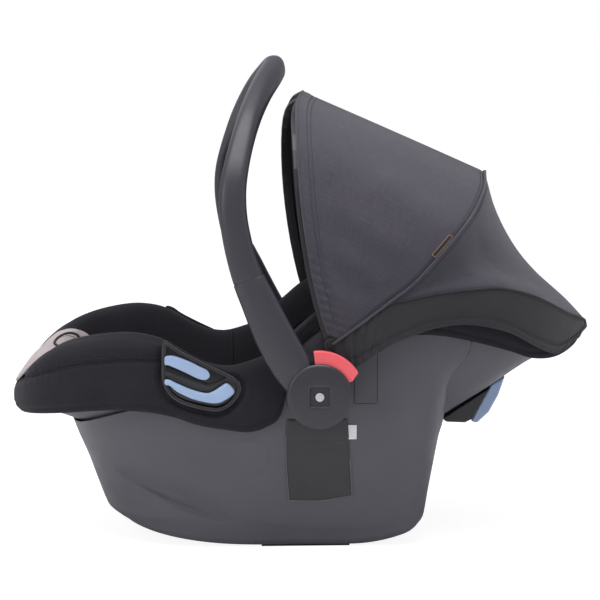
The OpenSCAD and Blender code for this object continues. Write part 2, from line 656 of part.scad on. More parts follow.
// Small coil between the button and the hub's core
spring_r = 2.6;
spring_wire = 0.5;
spring_turns = 4;
module button_spring(side) {
    length = release_travel + release_room - 2 * spring_wire - fit;
    steps = spring_turns * 10;
    axis = [cos(release_dir), 0, sin(release_dir)];
    cross_axis = [-sin(release_dir), 0, cos(release_dir)];
    mid = [hub_x, -(release_y + release_t / 2), hub_z];
    points = [for (i = [0 : steps])
        let (a = 360 * spring_turns * i / steps)
        mid + axis * (core_r + spring_wire + length * i / steps)
            + spring_r * (cos(a) * cross_axis + sin(a) * [0, 1, 0])];
    both_sides(side) color(steel)
        skin(sweep(points, axis, [for (p = points) [spring_wire, spring_wire]], 2, 6));
}
recess_w = 22;
recess_h = 2;
chamfer = 1.5;
hub_screw_r = 2.5;
module hub_cover(side) {
    both_sides(side) color(near_black) difference() {
        union() {
            across(hub_x, cover_y, hub_z) cylinder(r = hub_r, h = hub_cover_t - chamfer, $fn = 96);
            across(hub_x, cover_y + hub_cover_t - chamfer, hub_z)
                cylinder(r1 = hub_r, r2 = hub_r - chamfer, h = chamfer, $fn = 96);
        }
        across(hub_x, cover_y + hub_cover_t - recess_h, hub_z)
            translate([-recess_w / 2, -recess_w / 2, 0]) cube([recess_w, recess_w, recess_h + 1]);
        across(hub_x, cover_y - 1, hub_z) cylinder(r = hub_screw_r + fit, h = hub_cover_t + 2, $fn = 32);
    }
}
module hub_screw(side) {
    both_sides(side) color(steel) {
        across(hub_x, cover_y - 1.99, hub_z)
            cylinder(r = hub_screw_r, h = hub_cover_t - recess_h + 2, $fn = 32);
        across(hub_x, cover_y + hub_cover_t - recess_h, hub_z) difference() {
            cylinder(r = hub_screw_r + 2.3, h = 1.6, $fn = 40);
            for (a = [0, 90]) rotate([0, 0, a]) translate([-3, -0.5, 0.6]) cube([6, 1, 2]);
        }
    }
}

// ---- Canopy ----
bow_z = hub_z + bow_rise;
drawn_bow_h = 272;
bow_side_y = boss_y + 11.5;
// Hoops from the left pivot to the middle: [x from the pivot, y from the side, z above the pivot]
front_hoop = [
    [0, 0, 0], [-12, 39, 0], [-22, 83, 0], [-29, 127, -3], [-33.5, 170, -11], [-35.5, 213, -31],
    [-35, 245, -70], [-31, 263, -124], [-22, 271.7, -188]
];
rear_hoop = [
    [0, 0, 0], [31, 22, 0], [60, 44, 0], [88, 65, 0], [114, 92, -1], [141, 121, -14],
    [163, 143, -56], [180, 164, -114], [190, 178.5, -188]
];
function bow_scale() = bow_h / drawn_bow_h;
function canopy_point(p) =
    [bow_x + p[0] * bow_scale(), -bow_side_y * (1 + p[2] / 188), bow_z + p[1] * bow_scale()];
// Point u steps along half a hoop
function hoop(h, u) = path([for (p = h) canopy_point(p)], u);
// Move a canopy point outward from the middle of the pivot's axis
function outward(p, d) = let (c = [bow_x, 0, bow_z]) p + d * unit(p - c);
cloth_in = 2.6;
function across_seat(p) = [p[0], -p[1], p[2]];
// A curve of 2 * steps + 1 points from the left to the right side
function both_halves(steps, f) =
    [for (i = [-steps : steps]) let (p = f(1 - abs(i) / steps)) i > 0 ? across_seat(p) : p];
bow_eye_r = bow_pin_r + 4;
module canopy_bow(h, ref, layer) {
    steps = 16;
    start = 0.14;
    points = both_halves(steps, function (t) let (u = lerp(8, start, 1 - t))
        let (p = hoop(h, u)) outward(p, lerp(layer, -3, clamp((u - 2) / 2, 0, 1))));
    skin(sweep(points, ref, [for (p = points) [bow_w / 2, bow_t / 2]], 4, 8));
}
module bow_eye(side, layer) {
    both_sides(side) difference() {
        across(bow_x, bow_side_y + layer - bow_t / 2, bow_z) cylinder(r = bow_eye_r, h = bow_t, $fn = 40);
        across(bow_x, bow_side_y + layer - bow_t, bow_z)
            cylinder(r = bow_pin_r + fit, h = 2 * bow_t, $fn = 40);
    }
}
front_layer = -3.1;
rear_layer = 0;
module canopy_bow_front() {
    color(near_black) canopy_bow(front_hoop, [1, 0, 0.1], front_layer);
    color(near_black) for (side = ["left", "right"]) bow_eye(side, front_layer);
}
module canopy_bow_rear() {
    color(near_black) canopy_bow(rear_hoop, [1, 0, -1], rear_layer);
    color(near_black) for (side = ["left", "right"]) bow_eye(side, rear_layer);
}
module canopy_clip(side) {
    both_sides(side) color(near_black) {
        across(bow_x, boss_y, bow_z)
            cylinder(r = bow_eye_r, h = bow_side_y + front_layer - bow_t / 2 - 0.3 - boss_y, $fn = 40);
        across(bow_x, boss_y, bow_z)
            cylinder(r = bow_pin_r, h = bow_side_y + rear_layer + bow_t / 2 + 0.4 - boss_y, $fn = 40);
    }
}
// Cloth between two edges that are given from the left side to the middle; each edge keeps
// half a gap from the line, so that cloths which share it don't meet
cloth_gap = 0.8;
module cloth(edge_a, edge_b, steps, across_steps, bulge) {
    half = function (t, s, d)
        let (a = edge_a(t), b = edge_b(t), gap = cloth_gap / norm(b - a))
        outward(lerp(a, b, lerp(gap, 1 - gap, s)),
            d + bulge(t, s) * sin(90 * min(1, 1.6 * t + 0.1)));
    rings = [for (i = [-steps : steps])
        let (t = 1 - abs(i) / steps)
        let (outer = [for (j = [0 : across_steps]) half(t, j / across_steps, cloth_in + cloth_t)])
        let (inner = [for (j = [across_steps : -1 : 0]) half(t, j / across_steps, cloth_in)])
        [for (p = concat(outer, inner)) i > 0 ? across_seat(p) : p]];
    skin(rings);
}
// The front cloth bulges at the sides and lies flat along the middle
front_bulge = 7;
module canopy_panel_front() {
    color(charcoal) cloth(function (t) hoop(front_hoop, lerp(0.3, 8, t)),
        function (t) hoop(rear_hoop, lerp(0.3, 8, t)), 18, 5,
        function (t, s) 4 * s * (1 - s) * lerp(front_bulge, 0, t));
}
// Seam between the canopy and its skirt, then the skirt's hem: [x, z, distance outside the rim]
seam_line = [
    [106, 285, 16], [146, 293, 18], [192, 297, 20], [216, 296, 18], [254, 285, 15],
    [296, 263, 12], [320, 252, 12], [329, 246, 12]
];
skirt_top_line = concat([[25, 238, 16], [57, 257.5, 16], [85, 280, 16]], seam_line);
hem_line = [
    [41, 207, 16], [56, 216, 16], [75, 228, 16], [96, 240, 16], [135, 254, 16], [175, 258, 16],
    [222, 249, 14], [264, 227, 12], [297, 214, 12], [319, 226, 12], [329, 236, 12]
];
function shell_point(p) = [at_x(p[0]), -rim_w(at_x(p[0]), p[2]), at_z(p[1])];
function seam(points, u) = path([for (p = points) shell_point(p)], u);
// Sag of the rear cloth, from its bow to its seam
rear_sag = [[0, 0], [0.2, 14], [0.45, 20.5], [0.65, 17.5], [0.85, 6], [1, 0]];
module canopy_panel_rear() {
    color(charcoal) cloth(function (t) hoop(rear_hoop, lerp(3.1, 8, t)),
        function (t) seam(seam_line, (len(seam_line) - 1) * t), 18, 7,
        function (t, s) -curve(rear_sag, s) * min(1, 1.6 * t));
}
skirt_bulge = 3;
module canopy_skirt() {
    spans = len(hem_line) - 1;
    color(charcoal) cloth(function (t) seam(skirt_top_line, spans * t),
        function (t) seam(hem_line, spans * t), 20, 4,
        function (t, s) 4 * s * (1 - s) * lerp(skirt_bulge, 0, t));
}

// ---- Harness ----
strap_y = 38;
strap_head_x = 168;
tongue_x = 8;
buckle_x = -34;
buckle_z = max([for (s = [-1, 1]) seat_top(buckle_x + s * buckle_l / 2, buckle_w / 2)])
    + 2 * soft_gap + buckle_t / 2;
// Flat strap along points on the cushion: [x, y, height above the cushion]
module strap(points, w, t, steps = 16) {
    places = [for (i = [0 : steps]) let (p = path(points, i * (len(points) - 1) / steps))
        [p[0], p[1], seat_top(p[0], abs(p[1]) + w / 2) + p[2] + t / 2]];
    skin(sweep(places, [0, 1, 0], [for (p = places) [w / 2, t / 2]], 5, 8));
}
module shoulder_strap(side) {
    both_sides(side) color(near_black)
        strap([[strap_head_x, -strap_y, 1], [120, -strap_y, 1], [70, -strap_y + 4, 1],
            [36, -24, 3], [tongue_x + 16, -16, 9]], web_w, web_t);
}
shoulder_pad_w = 42;
shoulder_pad_t = 8;
pad_lift = 1 + web_t + 0.3;
module shoulder_pad(side) {
    both_sides(side) color(near_black)
        strap([[150, -strap_y, pad_lift], [110, -strap_y, pad_lift], [66, -strap_y + 3, pad_lift]],
            shoulder_pad_w, shoulder_pad_t, 12);
}
module hip_strap(side) {
    both_sides(side) color(near_black) {
        rows = [for (i = [0 : 10]) let (t = i / 10, y = lerp(-104, -30, t))
            [lerp(20, 10, t), y, seat_top(lerp(20, 10, t) + web_w / 2, y - 2) + 2 + 7 * t]];
        skin(sweep(rows, [1, 0, 0], [for (p = rows) [web_w / 2, web_t / 2]], 5, 8));
    }
}
module crotch_strap() {
    color(near_black) strap([[-96, 0, 0.8], [-78, 0, 1], [buckle_x - buckle_l / 2 - 0.3, 0, 7]],
        web_w, web_t, 8);
}
crotch_pad_w = 46;
crotch_pad_t = 6;
module crotch_pad() {
    color(near_black) strap([[-102, 0, 0.8 + web_t + 4], [-84, 0, web_t + 4], [-66, 0, web_t + 7]],
        crotch_pad_w, crotch_pad_t, 8);
}
button_w = 20;
button_l = 16;
button_h = 3.4;
button_x = buckle_x - 4 - button_l / 2;
// Floor of the button's pocket
pocket_z = buckle_z + buckle_t / 2 - buckle_travel - 3;
// Tongues: blade that goes into the buckle, and head that takes the webbing
tongue_t = 2.4;
tongue_z = buckle_z - 1;
blade_in = 15;
blade_w = 16;
blade_y = 2;
head_l = 14;
head_w = 31;
slot_w = 4;
module buckle_body() {
    color(near_black) difference() {
        translate([buckle_x, 0, buckle_z]) cube([buckle_l, buckle_w, buckle_t], center = true);
        translate([button_x - fit, -button_w / 2 - fit, pocket_z])
            cube([button_l + 2 * fit, button_w + 2 * fit, buckle_travel + 4]);
        for (y = [blade_y, -blade_y - blade_w])
            translate([buckle_x + buckle_l / 2 - blade_in - 1, y - fit, tongue_z - fit])
            cube([blade_in + 2, blade_w + 2 * fit, tongue_t + 2 * fit]);
    }
}
module buckle_button() {
    color(signal_red) translate([button_x, -button_w / 2, pocket_z + buckle_travel + 0.2])
        cube([button_l, button_w, button_h]);
}
module buckle_tongue(side) {
    x = buckle_x + buckle_l / 2;
    both_sides(side) color(steel) difference() {
        union() {
            translate([x - blade_in, -blade_y - blade_w, tongue_z]) cube([blade_in + 3, blade_w, tongue_t]);
            translate([x + 2.9, -head_w - 1, tongue_z]) cube([head_l, head_w, tongue_t]);
        }
        translate([x + (head_l - slot_w) / 2 + 2, -web_w - 5, tongue_z - 1])
            cube([slot_w, web_w, tongue_t + 2]);
    }
}
// Plate under the bucket that joins both shoulder straps to the adjuster's strap
splitter_x = 118;
splitter_l = 34;
splitter_w = 60;
splitter_t = 2.5;
splitter_drop = 14;
splitter_tilt = -32;
splitter_slots = [[4, 17], [4, -17], [-12, 0]];
module splitter_plate() {
    color(steel) translate([at_x(splitter_x), 0, keel_z(at_x(splitter_x)) - splitter_drop])
        rotate([0, splitter_tilt, 0]) difference() {
            cube([splitter_l, splitter_w, splitter_t], center = true);
            for (p = splitter_slots) translate([p[0] + 2.5, p[1], 0])
                cube([5, web_w + 1, 2 * splitter_t], center = true);
        }
}
adjuster_x = -150;
under_strap_foot = -200;
under_strap_gap = 6;
strap_tail = [-190, -250];
module adjuster_strap() {
    x0 = at_x(splitter_x) - splitter_l / 2 - 3;
    under = [for (i = [0 : 12]) let (x = lerp(x0, at_x(under_strap_foot), i / 12))
        [x, 0, keel_z(x) - under_strap_gap * (1 + pow(1 - i / 12, 3))]];
    color(near_black) skin(sweep(under, [0, 1, 0], [for (p = under) [web_w / 2, web_t / 2]], 5, 8));
    color(near_black) strap([[at_x(adjuster_x) - adjuster_l / 2 - 1, 0, 3], [at_x(strap_tail[0]), 0, 1.5],
        [at_x(strap_tail[1]), 0, 1]], web_w, web_t, 8);
}
// The adjuster lies on the slope of the foot end; its own axes are x down the slope, z off the cushion
adjuster_tilt = 26;
adjuster_l = 28;
adjuster_w = 36;
adjuster_h = 8;
adjuster_wall = 2.5;
adjuster_pin = [9, 5.6];
adjuster_pin_r = 1.5;
lever_barrel_r = 3.2;
lever_t = 3.4;
adjuster_z = seat_top(at_x(adjuster_x), adjuster_w / 2) + 1.5;
module on_adjuster() {
    translate([at_x(adjuster_x), 0, adjuster_z]) rotate([0, adjuster_tilt, 0]) children();
}
module adjuster_rod(r, w) {
    translate([adjuster_pin[0], w / 2, adjuster_pin[1]]) rotate([90, 0, 0]) cylinder(r = r, h = w, $fn = 32);
}
module adjuster_body() {
    color(steel) on_adjuster() {
        translate([-adjuster_l / 2, -adjuster_w / 2, 0]) cube([adjuster_l, adjuster_w, 2]);
        for (s = [-1, 1])
            translate([-adjuster_l / 2, (s * (adjuster_w - adjuster_wall) - adjuster_wall) / 2, 0])
            cube([adjuster_l, adjuster_wall, adjuster_h]);
        adjuster_rod(adjuster_pin_r, adjuster_w - 2 * adjuster_wall + 0.02);
    }
}
module adjuster_lever() {
    w = adjuster_w - 2 * adjuster_wall - 2 * fit;
    color(near_black) on_adjuster() difference() {
        union() {
            translate([-adjuster_l / 2 + 1, -w / 2, adjuster_pin[1] - lever_t / 2])
                cube([adjuster_l / 2 - 1 + adjuster_pin[0], w, lever_t]);
            adjuster_rod(lever_barrel_r, w);
        }
        adjuster_rod(adjuster_pin_r + fit, w + 2);
    }
}

bucket_shell();
base_skirt();
rocker_pad("left");  // rocker_pad_left
rocker_pad("right");  // rocker_pad_right
shell_screws();
foam_liner();
seat_cover();
foot_panel();
seat_cushion();
head_cushion();
belt_guide("left");  // belt_guide_left
belt_guide("right");  // belt_guide_right
rear_guide_bracket();
rear_belt_guide();
side_plate("left");  // side_plate_left
side_plate("right");  // side_plate_right
adapter_cover("left");  // adapter_cover_left
adapter_cover("right");  // adapter_cover_right
side_tags();
pivot_boss("left");  // pivot_boss_left
pivot_boss("right");  // pivot_boss_right
canopy_clip("left");  // canopy_clip_left
canopy_clip("right");  // canopy_clip_right
canopy_bow_front();
canopy_bow_rear();
canopy_panel_front();
canopy_panel_rear();
canopy_skirt();
handle_arm("left");  // handle_arm_left
handle_arm("right");  // handle_arm_right
handle_bar();
hub_cover("left");  // hub_cover_left
hub_cover("right");  // hub_cover_right
hub_screw("left");  // hub_screw_left
hub_screw("right");  // hub_screw_right
release_button("left");  // release_button_left
release_button("right");  // release_button_right
button_spring("left");  // button_spring_left
button_spring("right");  // button_spring_right
lock_gear("left");  // lock_gear_left
lock_gear("right");  // lock_gear_right
shoulder_strap("left");  // shoulder_strap_left
shoulder_strap("right");  // shoulder_strap_right
shoulder_pad("left");  // shoulder_pad_left
shoulder_pad("right");  // shoulder_pad_right
hip_strap("left");  // hip_strap_left
hip_strap("right");  // hip_strap_right
crotch_strap();
crotch_pad();
buckle_body();
buckle_button();
buckle_tongue("left");  // buckle_tongue_left
buckle_tongue("right");  // buckle_tongue_right
splitter_plate();
adjuster_strap();
adjuster_body();
adjuster_lever();
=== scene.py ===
# %% [markdown]
# # An infant car seat, dressed for the camera
# The solids of this seat come from its construction file. They are exact where things
# turn, slide or screw together, and plain where the real seat is soft. This script keeps
# the exact ones, gives them their finishes, and makes every soft or smooth piece again
# with the detail that a solid model leaves out.
#
# A frame is loaded first. It holds each solid at rest, the joints and the record, in metres:
# +X runs to the head end, +Y to the child's right, +Z up from the floor.

import json
import math

import bmesh
import bpy
import numpy as np
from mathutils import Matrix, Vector, kdtree


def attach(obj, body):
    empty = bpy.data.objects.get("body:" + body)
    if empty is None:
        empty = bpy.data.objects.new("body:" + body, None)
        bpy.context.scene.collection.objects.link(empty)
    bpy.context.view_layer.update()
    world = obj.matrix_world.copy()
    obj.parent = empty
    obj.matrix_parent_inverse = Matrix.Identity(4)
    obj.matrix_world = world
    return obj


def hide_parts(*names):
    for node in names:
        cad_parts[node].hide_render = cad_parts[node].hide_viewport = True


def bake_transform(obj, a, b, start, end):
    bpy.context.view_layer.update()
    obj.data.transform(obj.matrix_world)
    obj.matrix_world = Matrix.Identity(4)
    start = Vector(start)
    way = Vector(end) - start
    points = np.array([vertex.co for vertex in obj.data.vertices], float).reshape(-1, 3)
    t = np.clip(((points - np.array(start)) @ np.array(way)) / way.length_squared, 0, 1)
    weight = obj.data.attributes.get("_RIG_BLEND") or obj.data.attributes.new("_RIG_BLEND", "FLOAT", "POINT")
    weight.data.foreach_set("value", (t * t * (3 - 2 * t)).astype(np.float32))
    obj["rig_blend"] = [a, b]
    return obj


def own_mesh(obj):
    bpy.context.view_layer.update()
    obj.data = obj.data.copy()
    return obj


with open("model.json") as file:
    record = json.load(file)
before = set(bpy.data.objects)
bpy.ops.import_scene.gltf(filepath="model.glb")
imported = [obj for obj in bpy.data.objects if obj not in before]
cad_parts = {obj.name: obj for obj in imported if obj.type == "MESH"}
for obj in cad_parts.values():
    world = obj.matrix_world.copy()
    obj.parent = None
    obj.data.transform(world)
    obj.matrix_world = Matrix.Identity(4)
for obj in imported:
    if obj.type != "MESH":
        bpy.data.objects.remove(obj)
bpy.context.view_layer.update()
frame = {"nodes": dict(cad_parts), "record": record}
scene = bpy.context.scene
MM = 0.001
SIDES = (("left", -1), ("right", 1))

# %% [markdown]
# ## Camera
# The seat is seen from its left side, from a little above the floor. A long lens keeps
# the near and far sides almost the same size, as product views do.

# %% Camera
CAMERA_TARGET = Vector((0, 0, 0.26705))
CAMERA_DISTANCE = 2.7
CAMERA_TURN = math.radians(-2.8)
CAMERA_RISE = math.radians(6)
CAMERA_LENS = 136.9

camera = bpy.data.objects.new("camera", bpy.data.cameras.new("camera"))
scene.collection.objects.link(camera)
back = Vector((math.sin(CAMERA_TURN) * math.cos(CAMERA_RISE),
               -math.cos(CAMERA_TURN) * math.cos(CAMERA_RISE), math.sin(CAMERA_RISE)))
camera.location = CAMERA_TARGET + back * CAMERA_DISTANCE
camera.rotation_euler = back.to_track_quat("Z", "Y").to_euler()
camera.data.lens = CAMERA_LENS
camera.data.sensor_width = 36
camera.data.clip_end = 50
scene.camera = camera
print("camera", CAMERA_DISTANCE, "m from the seat, lens", CAMERA_LENS, "mm")

# %% [markdown]
# ## Materials
# Each finish is a small node tree on Blender's Principled shader. Patterns read Object
# coordinates, or the UV map of the piece where a weave has to follow the cloth. All UV maps
# here are in metres, so a thread is as wide on every piece.

# %% Helpers that build node trees
def new_material(name, colour, roughness, **sockets):
    material = bpy.data.materials.new(name)
    material.use_nodes = True
    shader = material.node_tree.nodes["Principled BSDF"]
    shader.inputs["Base Color"].default_value = (*colour, 1)
    shader.inputs["Roughness"].default_value = roughness
    for socket, value in sockets.items():
        shader.inputs[socket.replace("_", " ")].default_value = value
    return material, material.node_tree, shader


def add(tree, kind, links=None, **settings):
    node = tree.nodes.new(kind)
    for key, value in settings.items():
        setattr(node, key, value)
    for socket, value in (links or {}).items():
        target = node.inputs[socket]
        if isinstance(value, bpy.types.NodeSocket):
            tree.links.new(value, target)
        else:
            target.default_value = value
    return node


def calc(tree, operation, a, b=0.0):
    return add(tree, "ShaderNodeMath", {0: a, 1: b}, operation=operation).outputs[0]


def times(tree, a, b):
    return calc(tree, "MULTIPLY", a, b)


def noise(tree, where, size, detail=2.0, stretch=(1, 1, 1)):
    """Noise whose lumps are about size metres across, drawn out by stretch."""
    place = add(tree, "ShaderNodeMapping", {"Vector": where, "Scale": tuple(1 / s for s in stretch)})
    return add(tree, "ShaderNodeTexNoise",
               {"Vector": place.outputs[0], "Scale": 1 / size, "Detail": detail}).outputs["Fac"]


def spread(tree, value, low, high, start=0.3, end=0.7):
    """A value between start and end, drawn out to low and high."""
    return add(tree, "ShaderNodeMapRange", {"Value": value, "From Min": start, "From Max": end,
                                            "To Min": low, "To Max": high}).outputs[0]


def tint(tree, shader, colour, strength):
    """Base colour times a strength that varies over the surface."""
    mix = add(tree, "ShaderNodeVectorMath", {0: (*colour,), 3: strength}, operation="SCALE")
    tree.links.new(mix.outputs[0], shader.inputs["Base Color"])


def bump(tree, shader, height, distance):
    node = add(tree, "ShaderNodeBump", {"Height": height, "Distance": distance, "Strength": 1.0})
    tree.links.new(node.outputs[0], shader.inputs["Normal"])


def where_is(tree, uv=False):
    return add(tree, "ShaderNodeTexCoord").outputs["UV" if uv else "Object"]

# %% [markdown]
# Moulded plastic has a fine spark-eroded grain, a very slight cloudiness where the melt
# flowed, and paler edges where it has been rubbed. Noise at two sizes gives the first two,
# and the Pointiness of the mesh gives the third.

# %% Plastics, rubber and steel
def plastic(name, colour, roughness, grain=0.0006, depth=0.00003, cloud=0.05, wear=0.25, **sockets):
    material, tree, shader = new_material(name, colour, roughness, **sockets)
    where = where_is(tree)
    cloudy = spread(tree, noise(tree, where, 0.06, 3), 1 - cloud, 1 + cloud)
    point = add(tree, "ShaderNodeNewGeometry").outputs["Pointiness"]
    edge = spread(tree, point, 0, wear, 0.52, 0.6)
    tint(tree, shader, colour, calc(tree, "ADD", cloudy, edge))
    fine = noise(tree, where, grain, 1)
    gloss = spread(tree, noise(tree, where, 0.02, 2), roughness - 0.04, roughness + 0.04)
    tree.links.new(gloss, shader.inputs["Roughness"])
    bump(tree, shader, fine, depth)
    return material


SHELL = plastic("shell_grain", (0.08, 0.078, 0.092), 0.46, depth=0.00005)
HANDLE = plastic("handle_grain", (0.041, 0.04, 0.049), 0.4)
HUB = plastic("hub_grain", (0.033, 0.032, 0.038), 0.34)
BLACK_PLASTIC = plastic("black_plastic", (0.022, 0.022, 0.025), 0.4)
GLOSS_BLACK = plastic("gloss_black", (0.012, 0.012, 0.014), 0.14, depth=0.00001, wear=0.1)
BLUE = plastic("pale_blue_plastic", (0.36, 0.475, 0.69), 0.34, depth=0.00001, wear=0.06)
RED = plastic("red_plastic", (0.93, 0.13, 0.15), 0.32, depth=0.00001, wear=0.08)
RUBBER = plastic("pad_rubber", (0.018, 0.018, 0.018), 0.75, grain=0.0012, depth=0.0001, wear=0.1)
STEEL = plastic("bright_steel", (0.62, 0.62, 0.64), 0.28, grain=0.0009, depth=0.00002, wear=0.1,
                Metallic=1.0)
print(len(bpy.data.materials), "hard finishes")

# %% [markdown]
# Woven cloth is made of two sets of threads that pass over and under each other. Two sine
# waves in the UV map are the threads, and a checker of the same pitch chooses which one lies
# on top. Threads differ a little in colour, so noise drawn out along each set is added.

# %% Cloths
def threads(tree, uv, pitch):
    """Height of a plain weave and a value for each thread's own shade."""
    split = add(tree, "ShaderNodeSeparateXYZ", {0: uv})
    turn = math.pi / pitch
    across = calc(tree, "ABSOLUTE", calc(tree, "SINE", times(tree, split.outputs[0], turn)))
    along = calc(tree, "ABSOLUTE", calc(tree, "SINE", times(tree, split.outputs[1], turn)))
    checker = add(tree, "ShaderNodeTexChecker", {"Vector": uv, "Scale": 1 / pitch}).outputs["Fac"]
    top = times(tree, across, checker)
    under = times(tree, along, calc(tree, "SUBTRACT", 1.0, checker))
    height = calc(tree, "ADD", top, under)
    warp = noise(tree, uv, 0.0007, 1, (1, 30, 1))
    weft = noise(tree, uv, 0.0007, 1, (30, 1, 1))
    shade = calc(tree, "ADD", times(tree, warp, 0.5), times(tree, weft, 0.5))
    return height, shade


def cloth_finish(name, colour, pitch=0.0008, mottle=0.3, depth=0.00018, roughness=0.85, sheen=0.25,
                 cloud=0.06):
    material, tree, shader = new_material(name, colour, roughness, Sheen_Weight=sheen,
                                          Sheen_Roughness=0.4, Specular_IOR_Level=0.25)
    uv = where_is(tree, uv=True)
    height, shade = threads(tree, uv, pitch)
    cloudy = spread(tree, noise(tree, where_is(tree), 0.09, 3), 1 - cloud, 1 + cloud)
    heather = spread(tree, shade, 1 - mottle, 1 + mottle, 0.38, 0.62)
    deep = spread(tree, height, 0.82, 1.08, 0.0, 1.0)
    tint(tree, shader, colour, times(tree, times(tree, cloudy, heather), deep))
    fuzz = times(tree, noise(tree, where_is(tree), 0.004, 3), 1.2)
    bump(tree, shader, calc(tree, "ADD", height, fuzz), depth)
    return material


def knit_finish(name, colour, pitch=0.0016, depth=0.0003, sheen=0.35, cloud=0.08):
    """Spacer knit: rows of small dimples."""
    material, tree, shader = new_material(name, colour, 0.9, Sheen_Weight=sheen,
                                          Sheen_Roughness=0.35, Specular_IOR_Level=0.2)
    uv = where_is(tree, uv=True)
    cells = add(tree, "ShaderNodeTexVoronoi", {"Vector": uv, "Scale": 1 / pitch, "Randomness": 0.35},
                voronoi_dimensions="2D")
    rise = spread(tree, cells.outputs["Distance"], 0, 1, 0.05, 0.6)
    cloudy = spread(tree, noise(tree, where_is(tree), 0.05, 3), 1 - cloud, 1 + cloud)
    tint(tree, shader, colour, times(tree, cloudy, spread(tree, rise, 0.7, 1.15, 0, 1)))
    bump(tree, shader, rise, depth)
    return material


CANOPY = cloth_finish("canopy_cloth", (0.074, 0.068, 0.086), mottle=0.17, cloud=0.1)
LINING = cloth_finish("canopy_lining", (0.07, 0.07, 0.074), mottle=0.15)
# Painted shade: the skirt's cloth is the canopy cloth at about half its brightness, for the shade on the
# downward-facing skirt. Its hem and seam cords and the ridge tab use it too.
SKIRT_CLOTH_PAINTED_SHADE = cloth_finish("skirt_cloth_painted_shade", (0.038, 0.037, 0.041), mottle=0.1)
COVER = knit_finish("cover_knit", (0.022, 0.021, 0.026), sheen=0.12)
CUSHION = knit_finish("cushion_knit", (0.014, 0.0135, 0.017))
PALE = cloth_finish("pale_panel", (0.55, 0.48, 0.48), mottle=0.14, pitch=0.001)
PIPING = cloth_finish("piping_cloth", (0.045, 0.042, 0.046), mottle=0.15, pitch=0.0006)
PAD = knit_finish("harness_pad_knit", (0.03, 0.029, 0.034), pitch=0.002)
WEBBING = cloth_finish("webbing", (0.02, 0.02, 0.023), pitch=0.0014, depth=0.0003, mottle=0.1)
THREAD = cloth_finish("stitch_thread", (0.028, 0.027, 0.032), pitch=0.0003, mottle=0.1)
TAG = cloth_finish("bare_tag", (0.86, 0.85, 0.88), mottle=0.06)
FOAM_COLOUR = (0.78, 0.78, 0.75)
FOAM, foam_tree, foam_shader = new_material("bead_foam", FOAM_COLOUR, 0.7)
beads = add(foam_tree, "ShaderNodeTexVoronoi",
            {"Vector": where_is(foam_tree), "Scale": 280}).outputs["Distance"]
bump(foam_tree, foam_shader, beads, 0.0004)
tint(foam_tree, foam_shader, FOAM_COLOUR, spread(foam_tree, beads, 1.05, 0.85, 0, 0.6))
print(len(bpy.data.materials), "materials")

# %% [markdown]
# ## Outlines shared by the soft pieces
# The soft pieces follow the same curves as the solids: the rim of the shell in plan and in
# height, the crest of the cover, and the two hoops of the canopy. They are written here as
# knots in millimetres, with one smooth curve through them.

# %% Smooth curves through knots
def curve(knots, where):
    """Smooth curve through knots (position, value); a value is a number or a point."""
    at = np.array([k[0] for k in knots], float)
    value = np.array([k[1] for k in knots], float)
    x = np.clip(np.asarray(where, float), at[0], at[-1])
    i = np.clip(np.searchsorted(at, x, side="right") - 1, 0, len(at) - 2)
    before = np.maximum(np.arange(len(at)) - 1, 0)
    after = np.minimum(np.arange(len(at)) + 1, len(at) - 1)
    step = at[after] - at[before]
    slope = (value[after] - value[before]) / step.reshape(-1, *[1] * (value.ndim - 1))
    gap = at[i + 1] - at[i]
    t = (x - at[i]) / gap
    more = (...,) + (None,) * (value.ndim - 1)
    t, gap = t[more], gap[more]
    return (value[i] * (2 * t**3 - 3 * t**2 + 1) + value[i + 1] * (3 * t**2 - 2 * t**3)
            + slope[i] * gap * (t**3 - 2 * t**2 + t) + slope[i + 1] * gap * (t**3 - t**2))


def path(points, u):
    return curve([(i, p) for i, p in enumerate(points)], u)


def smooth(t):
    t = np.clip(t, 0, 1)
    return t * t * (3 - 2 * t)


def bell(distance, width):
    return np.exp(-(distance / width)**2)


def closed_curve(points, count):
    """Smooth closed line through points."""
    points = np.asarray(points, float)
    wrapped = np.concatenate([points[-2:], points, points[:3]])
    return path(list(wrapped), 2 + np.linspace(0, len(points), count, endpoint=False))


def inside_distance(p, outline):
    """Signed distance of points from a closed outline, positive inside."""
    a = np.asarray(outline, float)
    b = np.roll(a, -1, axis=0)
    p = np.asarray(p, float)[..., None, :]
    ab, ap = b - a, p - a
    t = np.clip((ap * ab).sum(-1) / (ab * ab).sum(-1), 0, 1)
    distance = np.linalg.norm(ap - t[..., None] * ab, axis=-1).min(-1)
    cross = ((a[:, 1] > p[..., 1]) != (b[:, 1] > p[..., 1])) & (
        p[..., 0] < (b[:, 0] - a[:, 0]) * (p[..., 1] - a[:, 1]) / (b[:, 1] - a[:, 1] + 1e-9) + a[:, 0])
    return np.where(cross.sum(-1) % 2 == 1, distance, -distance)


RIM = [(-321, 165), (-300, 188), (-254, 225), (-200, 235), (-150, 228), (-100, 205), (-75, 198),
       (-45, 212), (-10, 243), (20, 266), (60, 282), (110, 288), (190, 290), (250, 278), (300, 252),
       (321, 235)]
KEEL = [(-321, 150), (-250, 128), (-150, 80), (-60, 48), (0, 45), (60, 68), (110, 98), (164, 134),
        (224, 171), (260, 196), (321, 222)]
CREST = [(-321, 180), (-300, 210), (-280, 229), (-255, 240), (-220, 247), (-190, 248), (-160, 241),
         (-120, 219), (-90, 212), (-65, 217), (-45, 226), (-12, 254), (10, 272), (40, 286), (80, 292),
         (150, 296), (200, 296), (250, 286), (300, 261), (321, 243)]
COVER_LOW = [(-321, 143), (-277, 152), (-219, 161), (-175, 161), (-147, 156), (-120, 147), (-92, 142),
             (-65, 139), (-45, 145), (-30, 158), (-22, 190), (-12, 230), (4, 251), (46, 251),
             (62, 243), (90, 245), (132, 246), (158, 243), (194, 234), (225, 224), (252, 214),
             (283, 213), (321, 226)]
